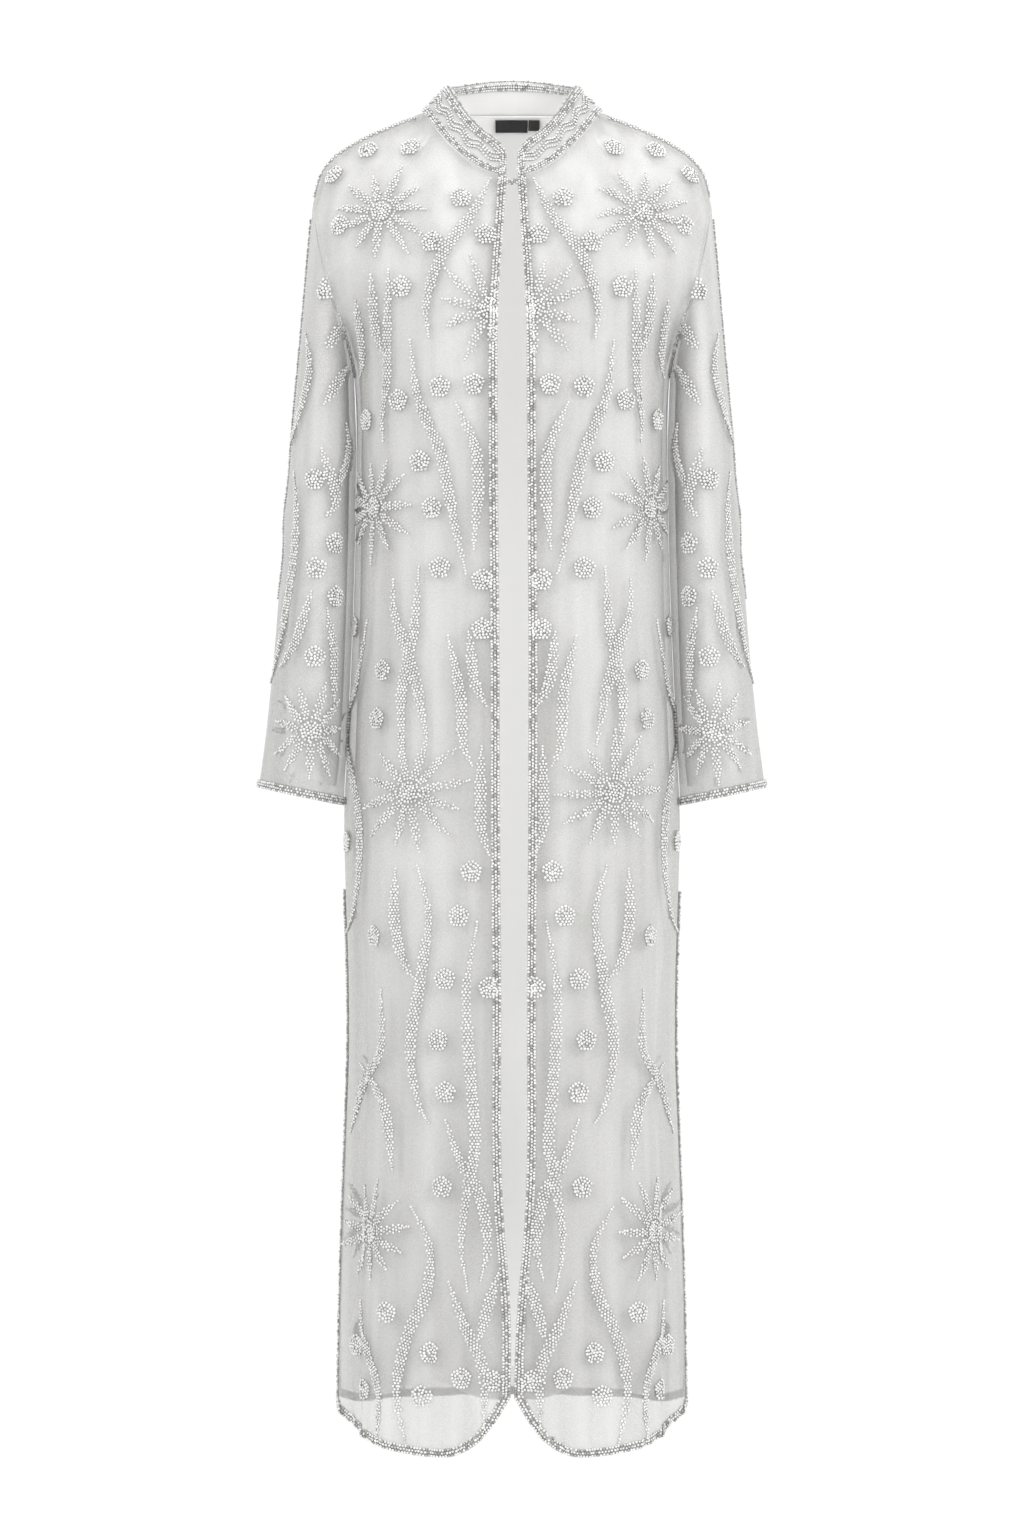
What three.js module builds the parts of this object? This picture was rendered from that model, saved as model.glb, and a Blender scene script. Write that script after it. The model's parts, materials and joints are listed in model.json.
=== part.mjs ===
// A long open-fronted kaftan: sheer beaded mesh over an opaque lining, with a stand collar
// and wide set-in sleeves, filled out as if worn.
// Millimetres, +Z up. The front faces -Y. Left and right are the wearer's, so left is +X.
// The origin is the middle of the neck base, level with the high shoulder points.
import * as THREE from "three";

// Cloth, seams and edges
const SHELL_WALL = 1.2;
const LINING_WALL = 1.0;
const COLLAR_WALL = 2.0;
const TRIM_THICKNESS = 2.3;
const LABEL_THICKNESS = 0.8;
const SEAM_GAP = 0.3;
const LINING_INSET = 5;
const LINING_HANG_INSET = 4;
const EDGE_TRIM_WIDTH = 9;
const CUFF_TRIM_WIDTH = 7;

// Heights on the body
const CHEST_Z = -290;
const SLIT_TOP_Z = -788;
const HEM_LOW_Z = -1347;
const BACK_HEM_LOW_Z = -1316;
const LINING_HEM_Z = -1280;
const LINING_SLIT_TOP_Z = -800;
const LINING_SLIT_FULL_Z = -900;

// Body sections from the chest down: half width, and how far the front and back stand from the side seams
const BODY_SECTIONS = [
  { z: -290, half: 157, front: 122, back: 112 },
  { z: -450, half: 159, front: 113, back: 101 },
  { z: -610, half: 165, front: 115, back: 112 },
  { z: -716, half: 170, front: 118, back: 120 },
  { z: -917, half: 165, front: 121, back: 122 },
  { z: -1060, half: 169, front: 124, back: 125 },
  { z: -1178, half: 173, front: 127, back: 128 },
  { z: -1347, half: 176, front: 130, back: 130 },
];
const SECTION_SQUARENESS = 0.86;

// Half of the gap between the two front edges
const FRONT_OPENING = [
  { z: -73.4, half: 5.3 },
  { z: -118, half: 8.4 },
  { z: -150, half: 10.9 },
  { z: -190, half: 13.4 },
  { z: -240, half: 14.6 },
  { z: -700, half: 14.6 },
  { z: -1080, half: 14.2 },
  { z: -1180, half: 7 },
  { z: -1235, half: 2.2 },
  { z: -1347, half: 1.6 },
];

// Neck ring, at the collar's foot and at its top
const COLLAR_FOOT = { half: 91, front: 72, back: 62, frontZ: -73.4, sideZ: 0, backZ: 4 };
const COLLAR_TOP = { half: 66, front: 58, back: 52, frontZ: -38.6, sideZ: 26, backZ: 37.6 };
const COLLAR_END_X = 5.3;
const COLLAR_LIFT = 1.2;
const COLLAR_FOOT_TRIM = 7.5;
const COLLAR_EDGE_TRIM = 6;
// The collar's share of its full height in its outermost columns, so its front corners are round
const COLLAR_CORNER = [0.76, 0.95];

// Shoulder seam, from the neck out to the top of the sleeve
const SHOULDER_SEAM = [
  { x: 91, y: 0, z: 0 },
  { x: 119, y: 1, z: -10 },
  { x: 157, y: 3, z: -27 },
  { x: 182, y: 4, z: -44 },
  { x: 194, y: 5, z: -60 },
  { x: 202, y: 5, z: -92 },
];

// Armhole loop, from the shoulder down the front, under the arm and up the back
const ARMHOLE = [
  { x: 202, y: 5, z: -92 },
  { x: 196, y: -36, z: -128 },
  { x: 182, y: -52, z: -182 },
  { x: 168, y: -34, z: -227 },
  { x: 160, y: 0, z: -263 },
  { x: 168, y: 38, z: -226 },
  { x: 184, y: 60, z: -180 },
  { x: 197, y: 45, z: -124 },
];
// How far a sleeve layer starts beyond the armhole, at the shoulder and under the arm
const SLEEVE_START = { shoulder: 1.8, underarm: 3.6 };
const SLEEVE_LINING_START = { shoulder: 0.6, underarm: 5.4 };
const ARMHOLE_AXIS = new THREE.Vector3(0.966, 0, -0.26);

// Sleeve sections under the armhole: inner and outer edge, half depth, and the arm's lean to the front
const SLEEVE_SECTIONS = [
  { z: -330, inner: 159.3, outer: 223, depth: 58, lean: 0 },
  { z: -451, inner: 160.9, outer: 232.5, depth: 57, lean: 4 },
  { z: -611, inner: 167, outer: 246.5, depth: 54, lean: 10 },
  { z: -690, inner: 173.5, outer: 256, depth: 52, lean: 13 },
];
const SLEEVE_LINING_SECTIONS = [
  { z: -330, inner: 164.5, outer: 218, depth: 53, lean: 0 },
  { z: -451, inner: 166.5, outer: 224, depth: 51, lean: 4 },
  { z: -611, inner: 172, outer: 229, depth: 46, lean: 10 },
  { z: -690, inner: 178, outer: 229, depth: 43, lean: 13 },
];
const CUFF_Z = -689;
const CUFF_TILT = 6;
const SLEEVE_LINING_END_Z = -674;
const SLEEVE_LINING_SCALE = 0.94;

// Hem corners: how far each rounded corner reaches along the hem, and how high it rises
const FRONT_CORNER = { reach: 80, rise: 61 };
const SIDE_CORNER = { reach: 200, rise: 60 };
const BACK_CORNER = { reach: 90, rise: 30 };
const CORNER_POWER = 2.5;
const SLIT_SPREAD = 7;
const LINING_SLIT_SPREAD = 44;
const LINING_FRONT_SETBACK = 2;

// Soft folds: share is the place across a half panel, from the centre to the side seam
const FRONT_FOLDS = [
  { share: 0.2, width: 0.055, height: 3.2, top: -420, full: -980 },
  { share: 0.38, width: 0.045, height: -3.4, top: -520, full: -1040 },
  { share: 0.55, width: 0.06, height: 4.2, top: -360, full: -900 },
  { share: 0.72, width: 0.045, height: -3.6, top: -600, full: -1080 },
  { share: 0.86, width: 0.04, height: 2.8, top: -700, full: -1120 },
];
const BACK_FOLDS = [
  { share: 0.1, width: 0.06, height: 4.4, top: -300, full: -860 },
  { share: 0.3, width: 0.05, height: -3.6, top: -380, full: -940 },
  { share: 0.48, width: 0.055, height: 3.8, top: -460, full: -1000 },
  { share: 0.66, width: 0.045, height: -3.2, top: -560, full: -1060 },
  { share: 0.84, width: 0.045, height: 3.0, top: -640, full: -1100 },
];
const LINING_FOLD_SHARE = 0.6;

// Columns across half a body panel: under the neck and under the shoulder seam
const NECK_CELLS = 6;
const SHOULDER_CELLS = 12;
const HALF_CELLS = NECK_CELLS + SHOULDER_CELLS;
const NECK_SHARE = 0.38;

// Rows down a body panel: beside the armhole to the underarm, then to the chest line and the hem
const ARMHOLE_CELLS = 8;
const UNDERARM_SHARE = 0.84;
const YOKE_ROWS = Array.from({ length: ARMHOLE_CELLS + 1 }, (_, k) => (UNDERARM_SHARE * k) / ARMHOLE_CELLS);
YOKE_ROWS.push(1);
const YOKE_FULLNESS = 14;
const TORSO_ROWS = [-375, -465, -550, -630, -710, SLIT_TOP_Z];
const SKIRT_ROWS = 7;
const SLEEVE_CELLS = 2 * ARMHOLE_CELLS;
const CAP_ROWS = 3;
const ARM_ROWS = 8;

// The hook and bar at the neck, and the labels inside the back neck
const HOOK_RADIUS = 2.3;
const LABEL = { left: -18, right: 17, top: 2, bottom: 15 };
const SIZE_TAB = { left: 18, right: 30, top: 2, bottom: 13 };

const MATERIALS = {
  mesh: { color: 0xe6e5e0, roughness: 0.75, metalness: 0 },
  lining: { color: 0xecebe5, roughness: 0.6, metalness: 0 },
  beads: { color: 0xd9d9d6, roughness: 0.3, metalness: 0.1 },
  label: { color: 0x101012, roughness: 0.7, metalness: 0 },
};

// A table's value at a place, on a smooth curve through its rows.
function valueAt(table, key, place) {
  const down = table[0].z > table[table.length - 1].z ? -1 : 1;
  const last = table.length - 2;
  let i = 0;
  while (i < last && down * place > down * table[i + 1].z) i += 1;
  const slopeAt = (n) => {
    const before = table[Math.max(n - 1, 0)];
    const after = table[Math.min(n + 1, table.length - 1)];
    return (after[key] - before[key]) / (after.z - before.z);
  };
  const span = table[i + 1].z - table[i].z;
  const t = THREE.MathUtils.clamp((place - table[i].z) / span, 0, 1);
  const square = t * t;
  const cube = square * t;
  return (
    (2 * cube - 3 * square + 1) * table[i][key] +
    (cube - 2 * square + t) * span * slopeAt(i) +
    (3 * square - 2 * cube) * table[i + 1][key] +
    (cube - square) * span * slopeAt(i + 1)
  );
}

// One quarter of a body section from the centre to the side, with its length at each step.
const ARC_STEPS = 48;
function quarterSection(z, face) {
  const half = valueAt(BODY_SECTIONS, "half", z);
  const depth = valueAt(BODY_SECTIONS, face, z);
  const sign = face === "front" ? -1 : 1;
  const steps = [];
  let length = 0;
  for (let i = 0; i <= ARC_STEPS; i += 1) {
    const angle = (i / ARC_STEPS) * (Math.PI / 2);
    const x = half * Math.sin(angle) ** SECTION_SQUARENESS;
    const y = sign * depth * Math.max(Math.cos(angle), 0) ** SECTION_SQUARENESS;
    if (i) length += Math.hypot(x - steps[i - 1].x, y - steps[i - 1].y);
    steps.push({ x, y, length });
  }
  return { steps, length, half, depth };
}

function pointAlong(section, distance) {
  const { steps, half, depth } = section;
  let i = 0;
  while (i < steps.length - 2 && distance > steps[i + 1].length) i += 1;
  const span = steps[i + 1].length - steps[i].length;
  const t = (distance - steps[i].length) / span;
  const x = THREE.MathUtils.lerp(steps[i].x, steps[i + 1].x, t);
  const y = THREE.MathUtils.lerp(steps[i].y, steps[i + 1].y, t);
  const out = new THREE.Vector2(x / half ** 2, y / depth ** 2).normalize();
  return { x, y, out };
}

// How far the folds stand out at a share of the panel's width and a height.
function foldHeight(folds, share, z) {
  let height = 0;
  for (const fold of folds) {
    const grown = THREE.MathUtils.smoothstep(fold.top - z, 0, fold.top - fold.full);
    height += fold.height * grown * Math.exp(-(((share - fold.share) / fold.width) ** 2));
  }
  return height;
}

// The share of a half panel's width at a column; the outermost column is the trim's width.
function columnShare(column, width, frontEdge) {
  const trim = EDGE_TRIM_WIDTH / width;
  if (column === HALF_CELLS) return 1;
  if (column > NECK_CELLS) {
    const t = (column - NECK_CELLS) / (SHOULDER_CELLS - 1);
    return THREE.MathUtils.lerp(NECK_SHARE, 1 - trim, t);
  }
  if (!frontEdge) return (NECK_SHARE * column) / NECK_CELLS;
  if (column === 0) return 0;
  return THREE.MathUtils.lerp(trim, NECK_SHARE, (column - 1) / (NECK_CELLS - 1));
}

// A point of the neck ring; turn is 0 at the centre front, 1 at the side and 2 at the centre back.
function neckPoint(ring, turn) {
  const angle = (turn * Math.PI) / 2;
  const forward = Math.cos(angle);
  const depth = forward > 0 ? ring.front : ring.back;
  const endZ = forward > 0 ? ring.frontZ : ring.backZ;
  const z = THREE.MathUtils.lerp(ring.sideZ, endZ, forward ** 2);
  return new THREE.Vector3(ring.half * Math.sin(angle), -depth * forward, z);
}

function neckEndTurn(ring) {
  return Math.asin(COLLAR_END_X / ring.half) / (Math.PI / 2);
}

// Turn of the neck ring at each column of the front, then on to the centre back.
function neckTurn(ring, column, face) {
  if (face === "back") return 2 - column / NECK_CELLS;
  const start = neckEndTurn(ring);
  if (column === 0) return start;
  const trimTurn = start + EDGE_TRIM_WIDTH / ring.half / (Math.PI / 2);
  return THREE.MathUtils.lerp(trimTurn, 1, (column - 1) / (NECK_CELLS - 1));
}

const shoulderCurve = new THREE.CatmullRomCurve3(
  SHOULDER_SEAM.map((row) => new THREE.Vector3(row.x, row.y, row.z)),
);
const armholeCurve = new THREE.CatmullRomCurve3(
  ARMHOLE.map((row) => new THREE.Vector3(row.x, row.y, row.z)),
  true,
);

const seamShift = (face) => new THREE.Vector3(0, face === "front" ? -SEAM_GAP / 2 : SEAM_GAP / 2, 0);

// The top edge of a half panel at a column: neckline, then shoulder seam.
function topPoint(column, face) {
  if (column < NECK_CELLS) return neckPoint(COLLAR_FOOT, neckTurn(COLLAR_FOOT, column, face));
  return shoulderCurve.getPoint((column - NECK_CELLS) / SHOULDER_CELLS).add(seamShift(face));
}

// The side edge of a half panel above the chest line: the armhole, then the side seam.
function sideEdge(layer, face, t) {
  const down = Math.min(t / UNDERARM_SHARE, 1) / 2;
  const point = armholeCurve.getPoint(face === "front" ? down : (1 - down) % 1).add(seamShift(face));
  const belowArm = Math.max(t - UNDERARM_SHARE, 0) / (1 - UNDERARM_SHARE);
  return point.lerp(lowerPoint(layer, face, HALF_CELLS, CHEST_Z), belowArm);
}

// The centre edge of a half panel above the chest line, which curves gently forward.
function centreEdge(layer, face, t) {
  const top = topPoint(0, face);
  const foot = lowerPoint(layer, face, 0, CHEST_Z);
  const y = THREE.MathUtils.lerp(top.y, foot.y, Math.sin((t * Math.PI) / 2));
  const point = top.clone().lerp(foot, t).setY(y);
  if (face === "front") point.x = valueAt(FRONT_OPENING, "half", point.z) + layer.setback() * t;
  return point;
}

// How much of the hem's corner rises at a distance from that corner's edge.
function cornerRise(corner, distance) {
  if (distance >= corner.reach) return 0;
  return corner.rise * (1 - distance / corner.reach) ** CORNER_POWER;
}

function hemHeight(face, share, width) {
  const fromCentre = share * width;
  const fromSide = (1 - share) * width;
  if (face === "back") return BACK_HEM_LOW_Z + cornerRise(BACK_CORNER, fromSide);
  return HEM_LOW_Z + cornerRise(FRONT_CORNER, fromCentre) + cornerRise(SIDE_CORNER, fromSide);
}

// What a layer of the body is cut to: the outer mesh, or the lining inside it.
const SHELL = {
  inset: () => 0,
  foldShare: 1,
  setback: () => 0,
  sideSetback: (z) => SLIT_SPREAD * THREE.MathUtils.smoothstep(-z, -SLIT_TOP_Z, -HEM_LOW_Z),
  hem: hemHeight,
};
const LINING = {
  inset: (z) => LINING_HANG_INSET * THREE.MathUtils.smoothstep(-z, -CHEST_Z, -SLIT_TOP_Z),
  foldShare: LINING_FOLD_SHARE,
  setback: () => LINING_FRONT_SETBACK,
  sideSetback: (z) =>
    LINING_SLIT_SPREAD * THREE.MathUtils.smoothstep(-z, -LINING_SLIT_TOP_Z, -LINING_SLIT_FULL_Z),
  hem: () => LINING_HEM_Z,
};

// A point below the chest line of a half panel.
function lowerPoint(layer, face, column, z) {
  const section = quarterSection(z, face);
  const frontEdge = face === "front";
  const start = frontEdge ? valueAt(FRONT_OPENING, "half", z) + layer.setback() : 0;
  const end = section.length - SEAM_GAP / 2 - layer.sideSetback(z);
  const width = end - start;
  const distance = start + columnShare(column, width, frontEdge) * width;
  const point = pointAlong(section, distance);
  const folds = frontEdge ? FRONT_FOLDS : BACK_FOLDS;
  const lift = layer.foldShare * foldHeight(folds, distance / section.length, z) - layer.inset(z);
  return new THREE.Vector3(point.x + point.out.x * lift, point.y + point.out.y * lift, z);
}

// A point between the top edge and the chest line, blended from the four edges of the yoke.
function yokePoint(layer, face, column, t) {
  const share = columnShare(column, quarterSection(CHEST_Z, face).length, face === "front");
  const down = topPoint(column, face).lerp(lowerPoint(layer, face, column, CHEST_Z), t);
  const across = centreEdge(layer, face, t).lerp(sideEdge(layer, face, t), share);
  const nearCentre = topPoint(0, face).lerp(lowerPoint(layer, face, 0, CHEST_Z), t);
  const nearSide = topPoint(HALF_CELLS, face).lerp(lowerPoint(layer, face, HALF_CELLS, CHEST_Z), t);
  const point = down.add(across).sub(nearCentre.lerp(nearSide, share));
  const fullness = YOKE_FULLNESS * 4 * share * (1 - share) * Math.sin(t * Math.PI);
  point.y += face === "front" ? -fullness : fullness;
  return point;
}

// A grid of points with normals. Tubes wrap from their last column to their first.
function makeGrid(points, wraps, outward) {
  const columns = points.length;
  const rows = points[0].length;
  const at = (i, j) => {
    const column = wraps ? (i + columns) % columns : THREE.MathUtils.clamp(i, 0, columns - 1);
    return points[column][THREE.MathUtils.clamp(j, 0, rows - 1)];
  };
  const normals = points.map((column, i) =>
    column.map((point, j) => {
      const across = at(i + 1, j).clone().sub(at(i - 1, j));
      const down = at(i, j + 1).clone().sub(at(i, j - 1));
      const normal = across.cross(down).normalize();
      return normal.dot(outward(point)) < 0 ? normal.negate() : normal;
    }),
  );
  return { points, normals, columns, rows, wraps };
}

function moved(grid, i, j, distance) {
  return grid.points[i][j].clone().addScaledVector(grid.normals[i][j], distance);
}

// A closed slab over the kept cells of a grid, between two distances from its points.
function slab(grid, low, high, keeps = () => true) {
  const positions = [];
  const indices = [];
  const numbers = new Map();
  const vertex = (i, j, level) => {
    const key = `${i % grid.columns},${j},${level}`;
    if (!numbers.has(key)) {
      numbers.set(key, positions.length / 3);
      positions.push(...moved(grid, i % grid.columns, j, level ? high : low).toArray());
    }
    return numbers.get(key);
  };
  const cellColumns = grid.wraps ? grid.columns : grid.columns - 1;
  const kept = (i, j) => {
    if (j < 0 || j > grid.rows - 2) return false;
    if (!grid.wraps && (i < 0 || i > cellColumns - 1)) return false;
    return keeps((i + cellColumns) % cellColumns, j);
  };
  const quad = (a, b, c, d) => indices.push(a, b, c, a, c, d);
  for (let i = 0; i < cellColumns; i += 1) {
    for (let j = 0; j < grid.rows - 1; j += 1) {
      if (!kept(i, j)) continue;
      const corners = [[i, j], [i + 1, j], [i + 1, j + 1], [i, j + 1]];
      const beyond = [kept(i, j - 1), kept(i + 1, j), kept(i, j + 1), kept(i - 1, j)];
      const outer = corners.map(([x, y]) => vertex(x, y, 1));
      const inner = corners.map(([x, y]) => vertex(x, y, 0));
      quad(outer[0], outer[1], outer[2], outer[3]);
      indices.push(inner[0], inner[2], inner[1], inner[0], inner[3], inner[2]);
      for (let side = 0; side < 4; side += 1) {
        const next = (side + 1) % 4;
        if (!beyond[side]) quad(outer[side], inner[side], inner[next], outer[next]);
      }
    }
  }
  return closedGeometry(positions, indices);
}

// A geometry from indexed points, turned so that its faces point out.
function closedGeometry(positions, indices) {
  const corner = (n) => new THREE.Vector3().fromArray(positions, 3 * indices[n]);
  let volume = 0;
  for (let n = 0; n < indices.length; n += 3) {
    volume += corner(n).dot(corner(n + 1).cross(corner(n + 2)));
  }
  if (volume < 0) {
    for (let n = 0; n < indices.length; n += 3) {
      [indices[n + 1], indices[n + 2]] = [indices[n + 2], indices[n + 1]];
    }
  }
  const geometry = new THREE.BufferGeometry();
  geometry.setAttribute("position", new THREE.Float32BufferAttribute(positions, 3));
  geometry.setIndex(indices);
  geometry.computeVertexNormals();
  return geometry;
}

// All the rows of one column of a body panel, from its top edge to its hem.
function bodyColumn(layer, face, column) {
  const points = YOKE_ROWS.map((t) => yokePoint(layer, face, column, t));
  for (const z of TORSO_ROWS) points.push(lowerPoint(layer, face, column, z));
  const section = quarterSection(HEM_LOW_Z, face);
  const share = columnShare(column, section.length, face === "front");
  const hem = layer.hem(face, share, section.length);
  for (let j = 1; j < SKIRT_ROWS; j += 1) {
    const z = THREE.MathUtils.lerp(SLIT_TOP_Z, hem + EDGE_TRIM_WIDTH, j / (SKIRT_ROWS - 1));
    points.push(lowerPoint(layer, face, column, z));
  }
  points.push(lowerPoint(layer, face, column, hem));
  return points;
}

const fromBodyAxis = (point) => new THREE.Vector3(point.x, point.y, 0.4 * Math.max(point.z + 200, 0));

// Seams share one normal on both sides, so that two walls meet edge to edge.
function squareSeams(grid, columnOf, step) {
  grid.points.forEach((column, i) => {
    const place = columnOf(i);
    column.forEach((point, j) => {
      const onShoulder = j === 0 && place >= NECK_CELLS;
      const onSide = place === HALF_CELLS && j * step >= ARMHOLE_CELLS;
      if (onShoulder || onSide) grid.normals[i][j].setY(0).normalize();
    });
  });
  return grid;
}

// Evens out the yoke between its edges, so that no crease runs down from the neck.
const YOKE_PASSES = 4;
function relaxYoke(points, firstColumn) {
  for (let pass = 0; pass < YOKE_PASSES; pass += 1) {
    const before = points.map((column) => column.map((point) => point.clone()));
    for (let i = firstColumn; i < points.length - 1; i += 1) {
      for (let j = 1; j < YOKE_ROWS.length; j += 1) {
        const around = before[i - 1][j].clone().add(before[i + 1][j]).add(before[i][j - 1]).add(before[i][j + 1]);
        points[i][j].lerp(around.multiplyScalar(0.25), 0.5);
      }
    }
  }
  return points;
}

// Coarse layers skip every other column and row, but keep the top edge and the hem.
function thinned(points, step) {
  const columns = points.filter((column, i) => i % step === 0);
  return columns.map((column) => column.filter((point, j) => j % step === 0 || j === column.length - 1));
}

function frontGrid(layer, step = 1) {
  const points = [];
  for (let column = 0; column <= HALF_CELLS; column += 1) points.push(bodyColumn(layer, "front", column));
  const grid = makeGrid(thinned(relaxYoke(points, 2), step), false, fromBodyAxis);
  return squareSeams(grid, (i) => i * step, step);
}

function backGrid(layer, step = 1) {
  const points = [];
  for (let column = -HALF_CELLS; column <= HALF_CELLS; column += 1) {
    const half = bodyColumn(layer, "back", Math.abs(column));
    points.push(column < 0 ? half.map((p) => new THREE.Vector3(-p.x, p.y, p.z)) : half);
  }
  const grid = makeGrid(thinned(relaxYoke(points, 1), step), false, fromBodyAxis);
  return squareSeams(grid, (i) => Math.abs(i * step - HALF_CELLS), step);
}

function mirrored(grid) {
  const flip = (v) => new THREE.Vector3(-v.x, v.y, v.z);
  return {
    ...grid,
    points: grid.points.map((column) => column.map(flip)),
    normals: grid.normals.map((column) => column.map(flip)),
  };
}

// A sleeve layer: a cap from the armhole loop, then a tube to the cuff.
function sleeveGrid(sections, scale, start, cuffZ, trimRow) {
  const centre = new THREE.Vector3();
  for (const row of ARMHOLE) centre.add(new THREE.Vector3(row.x, row.y, row.z));
  centre.divideScalar(ARMHOLE.length);
  const ringPoint = (angle, z) => {
    const inner = valueAt(sections, "inner", z);
    const outer = valueAt(sections, "outer", z);
    const depth = valueAt(sections, "depth", z);
    const x = (inner + outer) / 2 + ((outer - inner) / 2) * Math.cos(angle);
    const y = -valueAt(sections, "lean", z) - depth * Math.sin(angle);
    return new THREE.Vector3(x, y, z);
  };
  const points = [];
  for (let i = 0; i < SLEEVE_CELLS; i += 1) {
    const angle = (i / SLEEVE_CELLS) * 2 * Math.PI;
    const loop = armholeCurve.getPoint(i / SLEEVE_CELLS).sub(centre);
    const beyond = THREE.MathUtils.lerp(start.underarm, start.shoulder, (1 + Math.cos(angle)) / 2);
    const seam = loop.multiplyScalar(scale).add(centre).addScaledVector(ARMHOLE_AXIS, beyond);
    const capEnd = ringPoint(angle, sections[0].z);
    const column = [];
    for (let j = 0; j < CAP_ROWS; j += 1) column.push(seam.clone().lerp(capEnd, j / CAP_ROWS));
    const end = cuffZ + CUFF_TILT * Math.cos(angle);
    const last = end + trimRow;
    for (let j = 0; j <= ARM_ROWS; j += 1) {
      column.push(ringPoint(angle, THREE.MathUtils.lerp(sections[0].z, last, j / ARM_ROWS)));
    }
    if (trimRow) column.push(ringPoint(angle, end));
    points.push(column);
  }
  const middleX = (z) => (valueAt(sections, "inner", z) + valueAt(sections, "outer", z)) / 2;
  return makeGrid(points, true, (p) => new THREE.Vector3(p.x - middleX(p.z), p.y, 0));
}

// The stand collar, from one front end round the back to the other.
function collarGrid() {
  const turns = [];
  for (let k = 0; k <= NECK_CELLS; k += 1) turns.push({ face: "front", k });
  for (let k = NECK_CELLS - 1; k >= 0; k -= 1) turns.push({ face: "back", k });
  const half = turns.map(({ face, k }) => {
    const foot = neckPoint(COLLAR_FOOT, neckTurn(COLLAR_FOOT, k, face));
    const top = neckPoint(COLLAR_TOP, neckTurn(COLLAR_TOP, k, face));
    const whole = foot.distanceTo(top);
    const height = whole * (face === "front" && k < COLLAR_CORNER.length ? COLLAR_CORNER[k] : 1);
    const footTrim = COLLAR_LIFT + COLLAR_FOOT_TRIM;
    const heights = [COLLAR_LIFT, footTrim, footTrim + SEAM_GAP, height / 2 + 3, height - COLLAR_EDGE_TRIM, height];
    return heights.map((up) => foot.clone().lerp(top, up / whole));
  });
  const flipped = half.slice(0, -1).reverse();
  const other = flipped.map((column) => column.map((p) => new THREE.Vector3(-p.x, p.y, p.z)));
  const outward = (p) => new THREE.Vector3(p.x, p.y, 0);
  return makeGrid([...half, ...other], false, outward);
}

// A point and a normal of a grid between its columns and rows.
function sampleGrid(grid, column, row) {
  const i = Math.min(Math.floor(column), grid.columns - 2);
  const j = Math.min(Math.floor(row), grid.rows - 2);
  const mix = (values) => {
    const upper = values[i][j].clone().lerp(values[i + 1][j], column - i);
    const lower = values[i][j + 1].clone().lerp(values[i + 1][j + 1], column - i);
    return upper.lerp(lower, row - j);
  };
  return { point: mix(grid.points), normal: mix(grid.normals).normalize() };
}

// A small rectangle of cloth that lies on the inside of a grid, under its top edge.
const LABEL_COLUMNS = 4;
function labelOn(grid, size) {
  const middle = (grid.columns - 1) / 2;
  const columnWidth = grid.points[middle + 1][0].x - grid.points[middle][0].x;
  const rowHeight = grid.points[middle][0].distanceTo(grid.points[middle][1]);
  const points = [];
  for (let i = 0; i <= LABEL_COLUMNS; i += 1) {
    const x = THREE.MathUtils.lerp(size.left, size.right, i / LABEL_COLUMNS);
    const column = middle + x / columnWidth;
    points.push([size.top, size.bottom].map((down) => sampleGrid(grid, column, down / rowHeight)));
  }
  const patch = {
    points: points.map((column) => column.map((sample) => sample.point)),
    normals: points.map((column) => column.map((sample) => sample.normal)),
    columns: points.length,
    rows: 2,
    wraps: false,
  };
  const face = LINING_INSET + LINING_WALL / 2 + 2 * SEAM_GAP;
  return slab(patch, -face - LABEL_THICKNESS, -face);
}

// The hook and its bar, lying on the trims of both front edges.
function hookGeometry(grid) {
  const seat = sampleGrid(grid, 0.85, 0.35);
  const lift = SHELL_WALL / 2 + SEAM_GAP + TRIM_THICKNESS + SEAM_GAP + HOOK_RADIUS;
  const end = seat.point.addScaledVector(seat.normal, lift);
  const geometry = new THREE.CapsuleGeometry(HOOK_RADIUS, 2 * end.x - 2 * HOOK_RADIUS, 4, 10);
  geometry.rotateZ(Math.PI / 2);
  geometry.translate(0, end.y, end.z);
  return geometry;
}

const kaftan = new THREE.Group();
kaftan.name = "kaftan";

function addPiece(name, geometry, material) {
  const mesh = new THREE.Mesh(geometry, new THREE.MeshStandardMaterial(MATERIALS[material]));
  mesh.name = name;
  kaftan.add(mesh);
}

const half = SHELL_WALL / 2;
const trimLow = half + SEAM_GAP;
const trimHigh = trimLow + TRIM_THICKNESS;
const slitRow = YOKE_ROWS.length - 1 + TORSO_ROWS.length;

// Front panels with the trim down the front edge, round the hem and up the side slit
const frontLeft = frontGrid(SHELL);
const lastRow = frontLeft.rows - 2;
const frontEdges = (i, j) => i === 0 || j === lastRow || (i === HALF_CELLS - 1 && j >= slitRow);
for (const [side, grid] of [["left", frontLeft], ["right", mirrored(frontLeft)]]) {
  addPiece(`shell_front_${side}`, slab(grid, -half, half), "mesh");
  addPiece(`trim_front_${side}`, slab(grid, trimLow, trimHigh, frontEdges), "beads");
}

// The back panel with the trim up one slit, round the hem and up the other
const back = backGrid(SHELL);
const backEdges = (i, j) => j === lastRow || (j >= slitRow && (i === 0 || i === 2 * HALF_CELLS - 1));
addPiece("shell_back", slab(back, -half, half), "mesh");
addPiece("trim_back", slab(back, trimLow, trimHigh, backEdges), "beads");

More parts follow.
